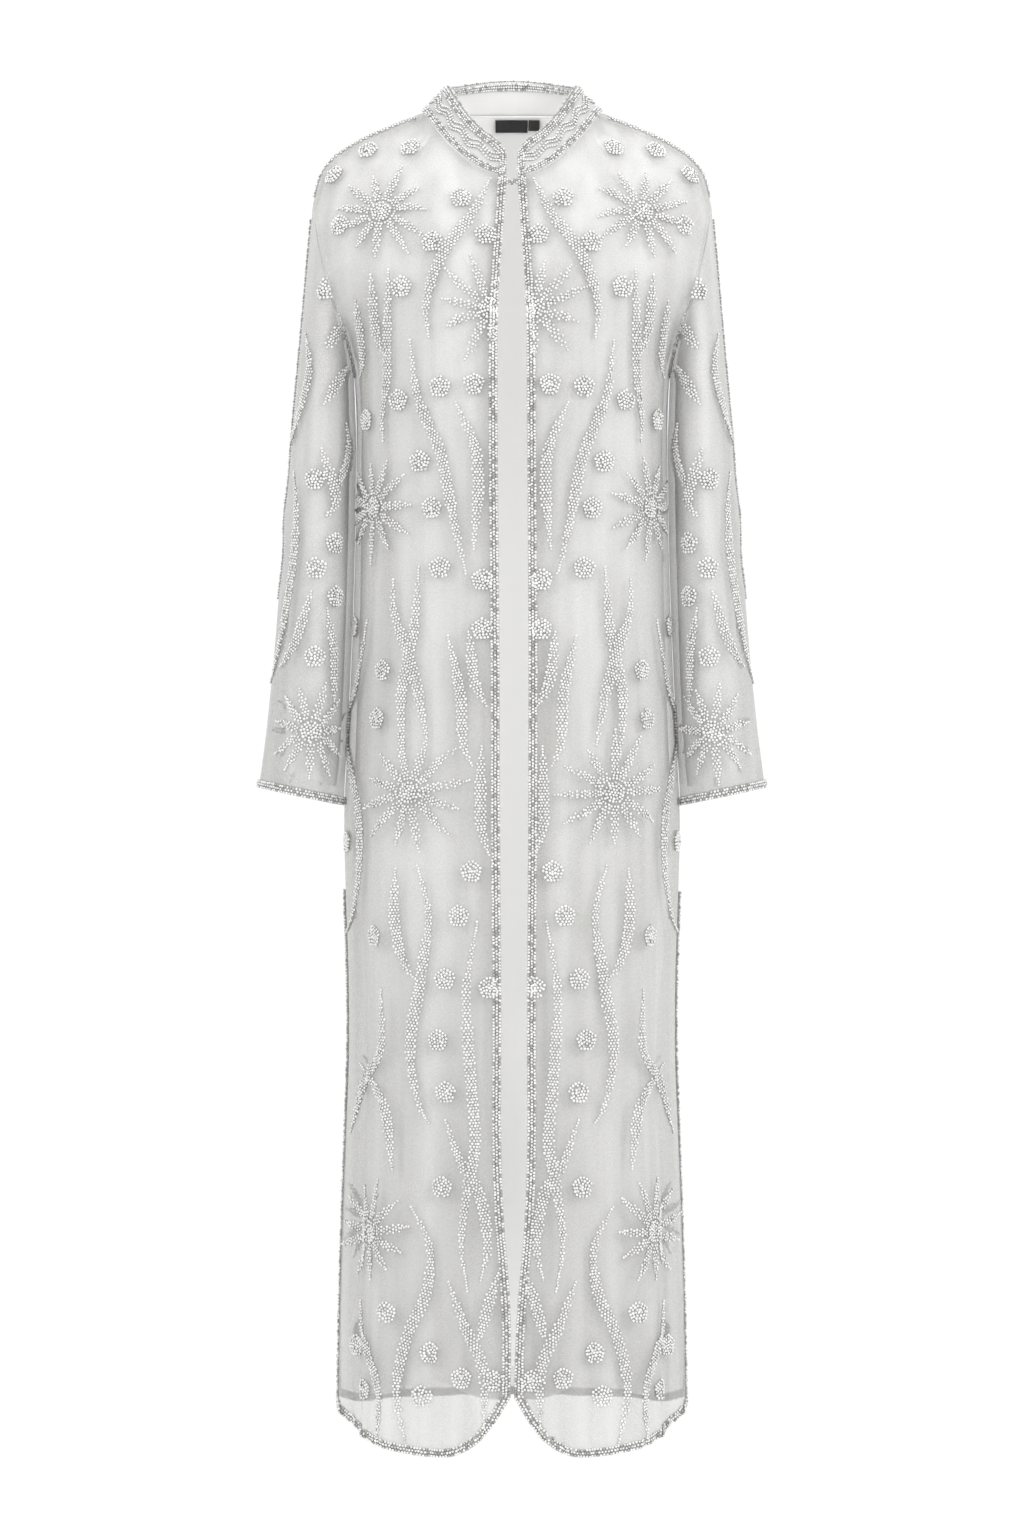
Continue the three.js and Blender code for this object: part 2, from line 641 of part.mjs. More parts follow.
// Linings, one fold coarser than the mesh
const LINING_STEP = 2;
const liningLow = -LINING_INSET - LINING_WALL / 2;
const liningHigh = -LINING_INSET + LINING_WALL / 2;
const liningFront = frontGrid(LINING, LINING_STEP);
const liningBack = backGrid(LINING, LINING_STEP);
addPiece("lining_front_left", slab(liningFront, liningLow, liningHigh), "lining");
addPiece("lining_front_right", slab(mirrored(liningFront), liningLow, liningHigh), "lining");
addPiece("lining_back", slab(liningBack, liningLow, liningHigh), "lining");

// Sleeves, their linings and the cuff trims
const sleeveLeft = sleeveGrid(SLEEVE_SECTIONS, 1, SLEEVE_START, CUFF_Z, CUFF_TRIM_WIDTH);
const sleeveLining = sleeveGrid(
  SLEEVE_LINING_SECTIONS,
  SLEEVE_LINING_SCALE,
  SLEEVE_LINING_START,
  SLEEVE_LINING_END_Z,
  0,
);
const cuffRow = sleeveLeft.rows - 2;
for (const side of ["left", "right"]) {
  const grid = side === "left" ? sleeveLeft : mirrored(sleeveLeft);
  const inner = side === "left" ? sleeveLining : mirrored(sleeveLining);
  addPiece(`sleeve_${side}`, slab(grid, -half, half), "mesh");
  addPiece(`cuff_trim_${side}`, slab(grid, trimLow, trimHigh, (i, j) => j === cuffRow), "beads");
  addPiece(`lining_sleeve_${side}`, slab(inner, -LINING_WALL / 2, LINING_WALL / 2), "lining");
}

// Collar with its two trims
const collar = collarGrid();
const collarHalf = COLLAR_WALL / 2;
const collarTrimLow = collarHalf + SEAM_GAP;
const collarTrimHigh = collarTrimLow + TRIM_THICKNESS;
const collarTopRow = collar.rows - 2;
const collarEnds = (i, j) => j === collarTopRow || (j >= 2 && (i === 0 || i === collar.columns - 2));
addPiece("collar", slab(collar, -collarHalf, collarHalf), "mesh");
addPiece("collar_foot_trim", slab(collar, collarTrimLow, collarTrimHigh, (i, j) => j === 0), "beads");
addPiece("collar_edge_trim", slab(collar, collarTrimLow, collarTrimHigh, collarEnds), "beads");

addPiece("neck_hook", hookGeometry(frontLeft), "beads");
addPiece("neck_label", labelOn(liningBack, LABEL), "label");
addPiece("size_tab", labelOn(liningBack, SIZE_TAB), "label");

export default kaftan;
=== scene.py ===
"""A long open-fronted kaftan of sheer beaded mesh over an opaque lining, filled out as if worn.

Blender works in metres, +Z up, and the front faces -Y. Left and right are the wearer's, so left is +X.
The cut is held in millimetres, as a maker writes it, and becomes metres when a mesh is made.
"""

import json
import logging
import math
from dataclasses import dataclass, field
from enum import Enum
from typing import Iterable, NamedTuple, Optional, Sequence

import bpy
import numpy as np
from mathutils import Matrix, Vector
from mathutils.bvhtree import BVHTree

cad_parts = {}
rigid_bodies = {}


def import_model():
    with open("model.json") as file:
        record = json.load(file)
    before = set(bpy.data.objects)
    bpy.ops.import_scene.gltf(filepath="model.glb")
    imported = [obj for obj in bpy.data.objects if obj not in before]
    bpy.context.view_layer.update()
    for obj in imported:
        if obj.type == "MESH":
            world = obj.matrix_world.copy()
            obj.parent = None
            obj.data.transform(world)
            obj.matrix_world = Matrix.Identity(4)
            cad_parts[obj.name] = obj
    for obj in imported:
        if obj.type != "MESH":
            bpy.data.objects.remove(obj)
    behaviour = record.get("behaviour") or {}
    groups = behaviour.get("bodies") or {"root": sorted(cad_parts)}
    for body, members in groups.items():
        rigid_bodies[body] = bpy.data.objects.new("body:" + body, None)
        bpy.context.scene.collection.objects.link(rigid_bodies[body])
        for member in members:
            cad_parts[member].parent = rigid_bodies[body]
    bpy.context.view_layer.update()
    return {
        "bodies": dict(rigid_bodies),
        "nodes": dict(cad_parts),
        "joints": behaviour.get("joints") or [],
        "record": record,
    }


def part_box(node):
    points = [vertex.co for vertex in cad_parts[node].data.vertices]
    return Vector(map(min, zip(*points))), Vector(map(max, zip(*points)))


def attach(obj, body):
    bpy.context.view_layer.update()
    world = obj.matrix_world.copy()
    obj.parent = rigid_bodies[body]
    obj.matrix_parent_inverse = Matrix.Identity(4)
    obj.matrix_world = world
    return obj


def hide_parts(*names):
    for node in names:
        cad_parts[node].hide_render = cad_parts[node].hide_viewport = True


LOG = logging.getLogger("kaftan")
MM = 0.001
SEED = 11


class Face(Enum):
    """Which side of the body a panel lies on."""

    FRONT = "front"
    BACK = "back"


class Side(Enum):
    """A side of the wearer, with the sign of its X."""

    LEFT = 1
    RIGHT = -1

    @property
    def word(self) -> str:
        """The side's name in a piece's name."""
        return self.name.lower()


class BodyRow(NamedTuple):
    """A section of the body: its height, half width, and how far the front and back stand out."""

    z: float
    half: float
    front: float
    back: float


class OpeningRow(NamedTuple):
    """Half of the gap between the front edges at a height."""

    z: float
    half: float


class SleeveRow(NamedTuple):
    """A section of a sleeve: inner and outer edge, half depth, and its lean to the front."""

    z: float
    inner: float
    outer: float
    depth: float
    lean: float


class NeckRing(NamedTuple):
    """A ring round the neck: its half width, depths, and heights at front, side and back."""

    half: float
    front: float
    back: float
    front_z: float
    side_z: float
    back_z: float


class Corner(NamedTuple):
    """A rounded hem corner: how far it reaches along the hem and how high it rises."""

    reach: float
    rise: float


class Fold(NamedTuple):
    """A soft fold down a panel: its place across, width, height, where it starts and is full, its drift."""

    share: float
    width: float
    height: float
    top: float
    full: float
    drift: float = 0.0


BODY_ROWS = (
    BodyRow(-290, 157, 122, 112),
    BodyRow(-450, 159, 113, 101),
    BodyRow(-610, 165, 115, 112),
    BodyRow(-716, 170, 118, 120),
    BodyRow(-917, 165, 121, 122),
    BodyRow(-1060, 169, 124, 125),
    BodyRow(-1178, 173, 127, 128),
    BodyRow(-1347, 176, 130, 130),
)
OPENING_ROWS = (
    OpeningRow(-73.4, 5.3),
    OpeningRow(-118, 8.4),
    OpeningRow(-150, 10.9),
    OpeningRow(-190, 13.4),
    OpeningRow(-240, 14.4),
    OpeningRow(-700, 14.0),
    OpeningRow(-900, 12.6),
    OpeningRow(-1080, 12.0),
    OpeningRow(-1180, 4.4),
    OpeningRow(-1235, 1.9),
    OpeningRow(-1347, 1.6),
)
SLEEVE_ROWS = (
    SleeveRow(-330, 157.9, 223, 58, 0),
    SleeveRow(-451, 159.3, 232.5, 57, 4),
    SleeveRow(-611, 165.3, 246.5, 54, 10),
    SleeveRow(-690, 169.6, 256, 52, 13),
)
SLEEVE_LINING_ROWS = (
    SleeveRow(-330, 164.5, 218, 53, 0),
    SleeveRow(-451, 166.5, 224, 51, 4),
    SleeveRow(-611, 172, 229, 46, 10),
    SleeveRow(-690, 178, 229, 43, 13),
)
COLLAR_FOOT = NeckRing(91, 72, 62, -73.4, 0, 4)
COLLAR_TOP = NeckRing(66, 58, 52, -38.6, 26, 37.6)
SHOULDER_SEAM = ((91, 0, 0), (119, 1, -10), (157, 3, -27), (182, 4, -44), (194, 5, -60), (202, 5, -92))
ARMHOLE = (
    (202, 5, -92),
    (196, -36, -128),
    (182, -52, -182),
    (168, -34, -227),
    (160, 0, -263),
    (168, 38, -226),
    (184, 60, -180),
    (197, 45, -124),
)
ARMHOLE_AXIS = np.array((0.966, 0.0, -0.26))

CHEST_Z = -290.0
SLIT_TOP_Z = -788.0
HEM_LOW_Z = -1347.0
BACK_HEM_LOW_Z = -1316.0
LINING_HEM_Z = -1280.0
SECTION_SQUARENESS = 0.86
COLLAR_END_X = 5.3
COLLAR_CORNER = (0.76, 0.95)
COLLAR_LIFT = 1.2
COLLAR_LEVELS = (0.0, 0.33, 0.66, 1.0)
SEAM_GAP = 0.3
TRIM_WIDTH = 9.0
EDGE_SWAY = 2.6
SWAY_WIDTH = 70.0
SWAY_GROWS = (-240.0, -600.0)
SWAY_FADES = (-1120.0, -1340.0)
CUFF_Z = -693.0
CUFF_TILT = 9.0
CUFF_TRIM_WIDTH = 8.4
SHOULDER_ROW_WIDTH = 5.6
SLEEVE_LINING_END_Z = -674.0

FRONT_CORNER = Corner(80, 61)
SIDE_CORNER = Corner(200, 60)
BACK_CORNER = Corner(90, 30)
CORNER_POWER = 2.5

NECK_CELLS = 6
SHOULDER_CELLS = 12
HALF_CELLS = NECK_CELLS + SHOULDER_CELLS
NECK_SHARE = 0.38
ARMHOLE_CELLS = 8
UNDERARM_SHARE = 0.84
YOKE_ROWS = (*(UNDERARM_SHARE * k / ARMHOLE_CELLS for k in range(ARMHOLE_CELLS + 1)), 1.0)
YOKE_FULLNESS = 14.0
YOKE_PASSES = 4
TORSO_ROWS = (-375.0, -465.0, -550.0, -630.0, -710.0, SLIT_TOP_Z)
SKIRT_ROWS = 7
CAP_ROWS = 3
ARM_ROWS = 8

# Where the photograph was taken from, in millimetres in front of and below the neck
EYE_DISTANCE = 5000.0
EYE_Z = -664.0
VIEW_HEIGHT = 1557.5


def smooth_step(value: np.ndarray, low: float, high: float) -> np.ndarray:
    """Returns 0 below low and 1 above high, with a smooth change between them.

    Args:
        value: the values to map.
        low: where the change starts.
        high: where it ends; it may be less than low.

    Returns:
        The mapped values.
    """
    t = np.clip((np.asarray(value, float) - low) / (high - low), 0.0, 1.0)
    return t * t * (3.0 - 2.0 * t)


def row_value(rows: Sequence[NamedTuple], name: str, z: float) -> float:
    """Returns a table's value at a height, on a smooth curve through its rows.

    Args:
        rows: the table, from its highest row down.
        name: the column wanted.
        z: the height.

    Returns:
        The value there, in the column's own unit.
    """
    heights = [row.z for row in rows]
    values = [getattr(row, name) for row in rows]
    i = 0
    while i < len(rows) - 2 and z < heights[i + 1]:
        i += 1

    def slope(n: int) -> float:
        """The curve's slope at a row."""
        before, after = max(n - 1, 0), min(n + 1, len(rows) - 1)
        return (values[after] - values[before]) / (heights[after] - heights[before])

    span = heights[i + 1] - heights[i]
    t = min(max((z - heights[i]) / span, 0.0), 1.0)
    return (
        (2 * t**3 - 3 * t**2 + 1) * values[i]
        + (t**3 - 2 * t**2 + t) * span * slope(i)
        + (3 * t**2 - 2 * t**3) * values[i + 1]
        + (t**3 - t**2) * span * slope(i + 1)
    )


def centripetal_point(points: Sequence[Sequence[float]], t: float, closed: bool) -> np.ndarray:
    """Returns a point on the smooth curve through given points.

    Args:
        points: the points that the curve passes.
        t: the share of the way along, counted evenly between points.
        closed: whether the curve joins its own start.

    Returns:
        The point.
    """
    nodes = np.array(points, float)
    count = len(nodes)
    place = t * (count if closed else count - 1)
    i = min(int(place), count - 1 if closed else count - 2)
    w = place - i
    if closed:
        p0, p1, p2, p3 = (nodes[(i + k) % count] for k in (-1, 0, 1, 2))
    else:
        p1, p2 = nodes[i], nodes[i + 1]
        p0 = nodes[i - 1] if i > 0 else 2 * p1 - p2
        p3 = nodes[i + 2] if i + 2 < count else 2 * p2 - p1
    gaps = [max(np.linalg.norm(b - a) ** 0.5, 1e-4) for a, b in ((p0, p1), (p1, p2), (p2, p3))]
    start = ((p1 - p0) / gaps[0] - (p2 - p0) / (gaps[0] + gaps[1]) + (p2 - p1) / gaps[1]) * gaps[1]
    end = ((p2 - p1) / gaps[1] - (p3 - p1) / (gaps[1] + gaps[2]) + (p3 - p2) / gaps[2]) * gaps[1]
    return (
        (2 * w**3 - 3 * w**2 + 1) * p1
        + (w**3 - 2 * w**2 + w) * start
        + (3 * w**2 - 2 * w**3) * p2
        + (w**3 - w**2) * end
    )


@dataclass(frozen=True)
class Layer:
    """How one layer of the body is cut: the outer mesh, or the lining inside it."""

    gap: float = 0.0
    hang: float = 0.0
    front_setback: float = 0.0
    side_spread: float = 7.0
    spread_top: float = SLIT_TOP_Z
    spread_full: float = HEM_LOW_Z
    fold_share: float = 1.0
    straight_hem: Optional[float] = None

    def side_setback(self, z: float) -> float:
        """How far the side edge stands back from the side seam at a height."""
        return self.side_spread * float(smooth_step(z, self.spread_top, self.spread_full))

    def hang_inset(self, z: np.ndarray) -> np.ndarray:
        """How much further inside the layer hangs, at each height."""
        return self.gap + self.hang * smooth_step(z, CHEST_Z, SLIT_TOP_Z)


MESH_LAYER = Layer()
LINING_LAYER = Layer(
    gap=5.0,
    hang=4.0,
    front_setback=2.0,
    side_spread=60.0,
    spread_top=-800.0,
    spread_full=-900.0,
    fold_share=0.6,
    straight_hem=LINING_HEM_Z,
)


class BodyPattern:
    """The cut of the body: half panels as nets of points from the top edge down to the hem."""

    def section(self, z: float, face: Face) -> tuple[np.ndarray, np.ndarray]:
        """One quarter of the body's section, from the centre to the side.

        Args:
            z: the height.
            face: front or back.

        Returns:
            Its points, and the length up to each.
        """
        half = row_value(BODY_ROWS, "half", z)
        depth = row_value(BODY_ROWS, face.value, z)
        sign = -1.0 if face is Face.FRONT else 1.0
        angle = np.linspace(0.0, math.pi / 2, 49)
        x = half * np.sin(angle) ** SECTION_SQUARENESS
        y = sign * depth * np.maximum(np.cos(angle), 0.0) ** SECTION_SQUARENESS
        points = np.column_stack((x, y))
        lengths = np.concatenate(((0.0,), np.cumsum(np.linalg.norm(np.diff(points, axis=0), axis=1))))
        return points, lengths

    def column_share(self, column: int, width: float, front_edge: bool) -> float:
        """The share of a half panel's width at a column. The outermost column is the trim's width."""
        trim = TRIM_WIDTH / width
        if column == HALF_CELLS:
            return 1.0
        if column > NECK_CELLS:
            return NECK_SHARE + (1 - trim - NECK_SHARE) * (column - NECK_CELLS) / (SHOULDER_CELLS - 1)
        if not front_edge:
            return NECK_SHARE * column / NECK_CELLS
        if column == 0:
            return 0.0
        return trim + (NECK_SHARE - trim) * (column - 1) / (NECK_CELLS - 1)

    def lower_point(self, layer: Layer, face: Face, column: int, z: float) -> np.ndarray:
        """A point of a half panel below the chest line, with no folds."""
        points, lengths = self.section(z, face)
        front_edge = face is Face.FRONT
        start = row_value(OPENING_ROWS, "half", z) + layer.front_setback if front_edge else 0.0
        width = lengths[-1] - SEAM_GAP / 2 - layer.side_setback(z) - start
        distance = start + self.column_share(column, width, front_edge) * width
        return np.array((*(np.interp(distance, lengths, points[:, k]) for k in (0, 1)), z))

    def top_point(self, column: int, face: Face) -> np.ndarray:
        """A point of the top edge: neckline, then shoulder seam."""
        if column < NECK_CELLS:
            return neck_point(COLLAR_FOOT, neck_turn(COLLAR_FOOT, column, face))
        point = centripetal_point(SHOULDER_SEAM, (column - NECK_CELLS) / SHOULDER_CELLS, False)
        return point + seam_shift(face)

    def side_edge(self, layer: Layer, face: Face, t: float) -> np.ndarray:
        """A point of the side edge above the chest line: the armhole, then the side seam."""
        down = min(t / UNDERARM_SHARE, 1.0) / 2
        point = centripetal_point(ARMHOLE, down if face is Face.FRONT else (1 - down) % 1, True)
        point = point + seam_shift(face)
        below_arm = max(t - UNDERARM_SHARE, 0.0) / (1 - UNDERARM_SHARE)
        return point + (self.lower_point(layer, face, HALF_CELLS, CHEST_Z) - point) * below_arm

    def centre_edge(self, layer: Layer, face: Face, t: float) -> np.ndarray:
        """A point of the centre edge above the chest line, which curves gently forward."""
        top = self.top_point(0, face)
        foot = self.lower_point(layer, face, 0, CHEST_Z)
        point = top + (foot - top) * np.array((t, math.sin(t * math.pi / 2), t))
        if face is Face.FRONT:
            point[0] = row_value(OPENING_ROWS, "half", point[2]) + layer.front_setback * t
        return point

    def yoke_point(self, layer: Layer, face: Face, column: int, t: float) -> np.ndarray:
        """A point between the top edge and the chest line, blended from the yoke's four edges."""
        share = self.column_share(column, self.section(CHEST_Z, face)[1][-1], face is Face.FRONT)

        def ruled(place: int) -> np.ndarray:
            """A point straight between the top edge and the chest line at a column."""
            return self.top_point(place, face) * (1 - t) + self.lower_point(layer, face, place, CHEST_Z) * t

        across = self.centre_edge(layer, face, t) * (1 - share) + self.side_edge(layer, face, t) * share
        point = ruled(column) + across - ruled(0) * (1 - share) - ruled(HALF_CELLS) * share
        fullness = YOKE_FULLNESS * 4 * share * (1 - share) * math.sin(t * math.pi)
        point[1] += -fullness if face is Face.FRONT else fullness
        return point

    def hem(self, layer: Layer, face: Face, share: float, width: float) -> float:
        """The hem's height at a share of the half panel's width."""
        if layer.straight_hem is not None:
            return layer.straight_hem

        def rise(corner: Corner, distance: float) -> float:
            """How much a corner lifts the hem at a distance from its edge."""
            return corner.rise * max(1 - distance / corner.reach, 0.0) ** CORNER_POWER

        if face is Face.BACK:
            return BACK_HEM_LOW_Z + rise(BACK_CORNER, (1 - share) * width)
        return HEM_LOW_Z + rise(FRONT_CORNER, share * width) + rise(SIDE_CORNER, (1 - share) * width)

    def column(self, layer: Layer, face: Face, column: int) -> list[np.ndarray]:
        """All the points of one column, from the top edge down to the hem."""
        points = [self.yoke_point(layer, face, column, t) for t in YOKE_ROWS]
        heights = list(TORSO_ROWS)
        length = self.section(HEM_LOW_Z, face)[1][-1]
        share = self.column_share(column, length, face is Face.FRONT)
        hem = self.hem(layer, face, share, length)
        for j in range(1, SKIRT_ROWS):
            heights.append(SLIT_TOP_Z + (hem + TRIM_WIDTH - SLIT_TOP_Z) * j / (SKIRT_ROWS - 1))
        heights.append(hem)
        return points + [self.lower_point(layer, face, column, z) for z in heights]

    def net(self, layer: Layer, face: Face) -> np.ndarray:
        """The net of a front panel, or of the whole back, with an even yoke.

        Args:
            layer: the mesh or the lining.
            face: front gives the wearer's left front, back gives the whole back.

        Returns:
            An array of columns by rows by 3, in millimetres.
        """
        first = 0 if face is Face.FRONT else -HALF_CELLS
        net = np.array([self.column(layer, face, abs(c)) for c in range(first, HALF_CELLS + 1)])
        if face is Face.BACK:
            net[:HALF_CELLS, :, 0] *= -1
        start = 2 if face is Face.FRONT else 1
        rows = len(YOKE_ROWS)
        for _ in range(YOKE_PASSES):
            around = net[start - 1 : -2, 1:rows] + net[start + 1 :, 1:rows]
            around = around + net[start:-1, : rows - 1] + net[start:-1, 2 : rows + 1]
            net[start:-1, 1:rows] += (around / 4 - net[start:-1, 1:rows]) / 2
        return net


def seam_shift(face: Face) -> np.ndarray:
    """How far a panel's seam edge stands from the seam line."""
    return np.array((0.0, -SEAM_GAP / 2 if face is Face.FRONT else SEAM_GAP / 2, 0.0))


def neck_point(ring: NeckRing, turn: float) -> np.ndarray:
    """A point of a neck ring. Turn is 0 at the centre front, 1 at the side and 2 at the centre back."""
    angle = turn * math.pi / 2
    forward = math.cos(angle)
    depth, end_z = (ring.front, ring.front_z) if forward > 0 else (ring.back, ring.back_z)
    z = ring.side_z + (end_z - ring.side_z) * forward**2
    return np.array((ring.half * math.sin(angle), -depth * forward, z))


def neck_turn(ring: NeckRing, column: int, face: Face) -> float:
    """The turn of a neck ring at a column, from the front edge to the centre back."""
    if face is Face.BACK:
        return 2 - column / NECK_CELLS
    start = math.asin(COLLAR_END_X / ring.half) / (math.pi / 2)
    if column == 0:
        return start
    trim = start + TRIM_WIDTH / ring.half / (math.pi / 2)
    return trim + (1 - trim) * (column - 1) / (NECK_CELLS - 1)


@dataclass(frozen=True)
class SleevePattern:
    """The cut of a sleeve layer: a cap from the armhole, then a tube to the cuff."""

    rows: Sequence[SleeveRow] = SLEEVE_ROWS
    scale: float = 1.0
    start_shoulder: float = 0.3
    start_underarm: float = 0.3
    cuff_z: float = CUFF_Z
    trim_row: float = CUFF_TRIM_WIDTH

    def ring_point(self, angle: float, z: float) -> np.ndarray:
        """A point of the sleeve's section at a height; angle 0 is the outer edge."""
        inner, outer = row_value(self.rows, "inner", z), row_value(self.rows, "outer", z)
        x = (inner + outer) / 2 + (outer - inner) / 2 * math.cos(angle)
        y = -row_value(self.rows, "lean", z) - row_value(self.rows, "depth", z) * math.sin(angle)
        return np.array((x, y, z))

    def net(self) -> np.ndarray:
        """The net of the left sleeve, wrapped round, from the armhole down to the cuff."""
        centre = np.mean(ARMHOLE, axis=0)
        columns = []
        cells = 2 * ARMHOLE_CELLS
        for i in range(cells):
            angle = i / cells * 2 * math.pi
            loop = centripetal_point(ARMHOLE, i / cells, True) - centre
            blend = (1 + math.cos(angle)) / 2
            beyond = self.start_underarm + (self.start_shoulder - self.start_underarm) * blend
            seam = loop * self.scale + centre + ARMHOLE_AXIS * beyond
            cap_end = self.ring_point(angle, self.rows[0].z)
            column = [seam + (cap_end - seam) * j / CAP_ROWS for j in range(CAP_ROWS)]
            end = self.cuff_z + CUFF_TILT * math.cos(angle)
            last = end + self.trim_row
            top = self.rows[0].z
            column += [self.ring_point(angle, top + (last - top) * j / ARM_ROWS) for j in range(ARM_ROWS + 1)]
            if self.trim_row:
                column.append(self.ring_point(angle, end))
            columns.append(column)
        return np.array(columns)


def collar_net() -> np.ndarray:
    """The net of the stand collar, from one front end round the back to the other, foot to top."""
    places = [(Face.FRONT, k) for k in range(NECK_CELLS + 1)]
    places += [(Face.BACK, k) for k in range(NECK_CELLS - 1, -1, -1)]
    columns = []
    for face, k in places:
        foot = neck_point(COLLAR_FOOT, neck_turn(COLLAR_FOOT, k, face))
        top = neck_point(COLLAR_TOP, neck_turn(COLLAR_TOP, k, face))
        lift = COLLAR_LIFT / np.linalg.norm(top - foot)
        full = COLLAR_CORNER[k] if face is Face.FRONT and k < len(COLLAR_CORNER) else 1.0
        columns.append([foot + (top - foot) * (lift + (full - lift) * t) for t in COLLAR_LEVELS])
    half = np.array(columns)
    other = half[-2::-1].copy()
    other[..., 0] *= -1
    return np.concatenate((half, other))


def refined_line(net: np.ndarray, places: np.ndarray) -> np.ndarray:
    """Refines a net along its first axis, on smooth curves through its points.

    Args:
        net: points by lines by 3.
        places: where to take points, in counts of the net's own points.

    Returns:
        places by lines by 3.
    """
    spans = np.maximum(np.linalg.norm(np.diff(net, axis=0), axis=2), 1e-6)[..., None]
    slopes = np.diff(net, axis=0) / spans
    tangents = np.empty_like(net)
    tangents[1:-1] = (slopes[:-1] * spans[1:] + slopes[1:] * spans[:-1]) / (spans[:-1] + spans[1:])
    tangents[0], tangents[-1] = slopes[0], slopes[-1]
    i = np.clip(places.astype(int), 0, len(net) - 2)
    t = (places - i)[:, None, None]
    return (
        (2 * t**3 - 3 * t**2 + 1) * net[i]
        + (t**3 - 2 * t**2 + t) * spans[i] * tangents[i]
        + (3 * t**2 - 2 * t**3) * net[i + 1]
        + (t**3 - t**2) * spans[i] * tangents[i + 1]
    )


def fine_places(net: np.ndarray, spacing: float) -> np.ndarray:
    """Places along a net's first axis that are about a spacing apart, with every net point kept."""
    widths = np.linalg.norm(np.diff(net, axis=0), axis=2).mean(axis=1)
    places = [0.0]
    for i, width in enumerate(widths):
        count = max(1, round(width / spacing))
        places += [i + (k + 1) / count for k in range(count)]
    return np.array(places)


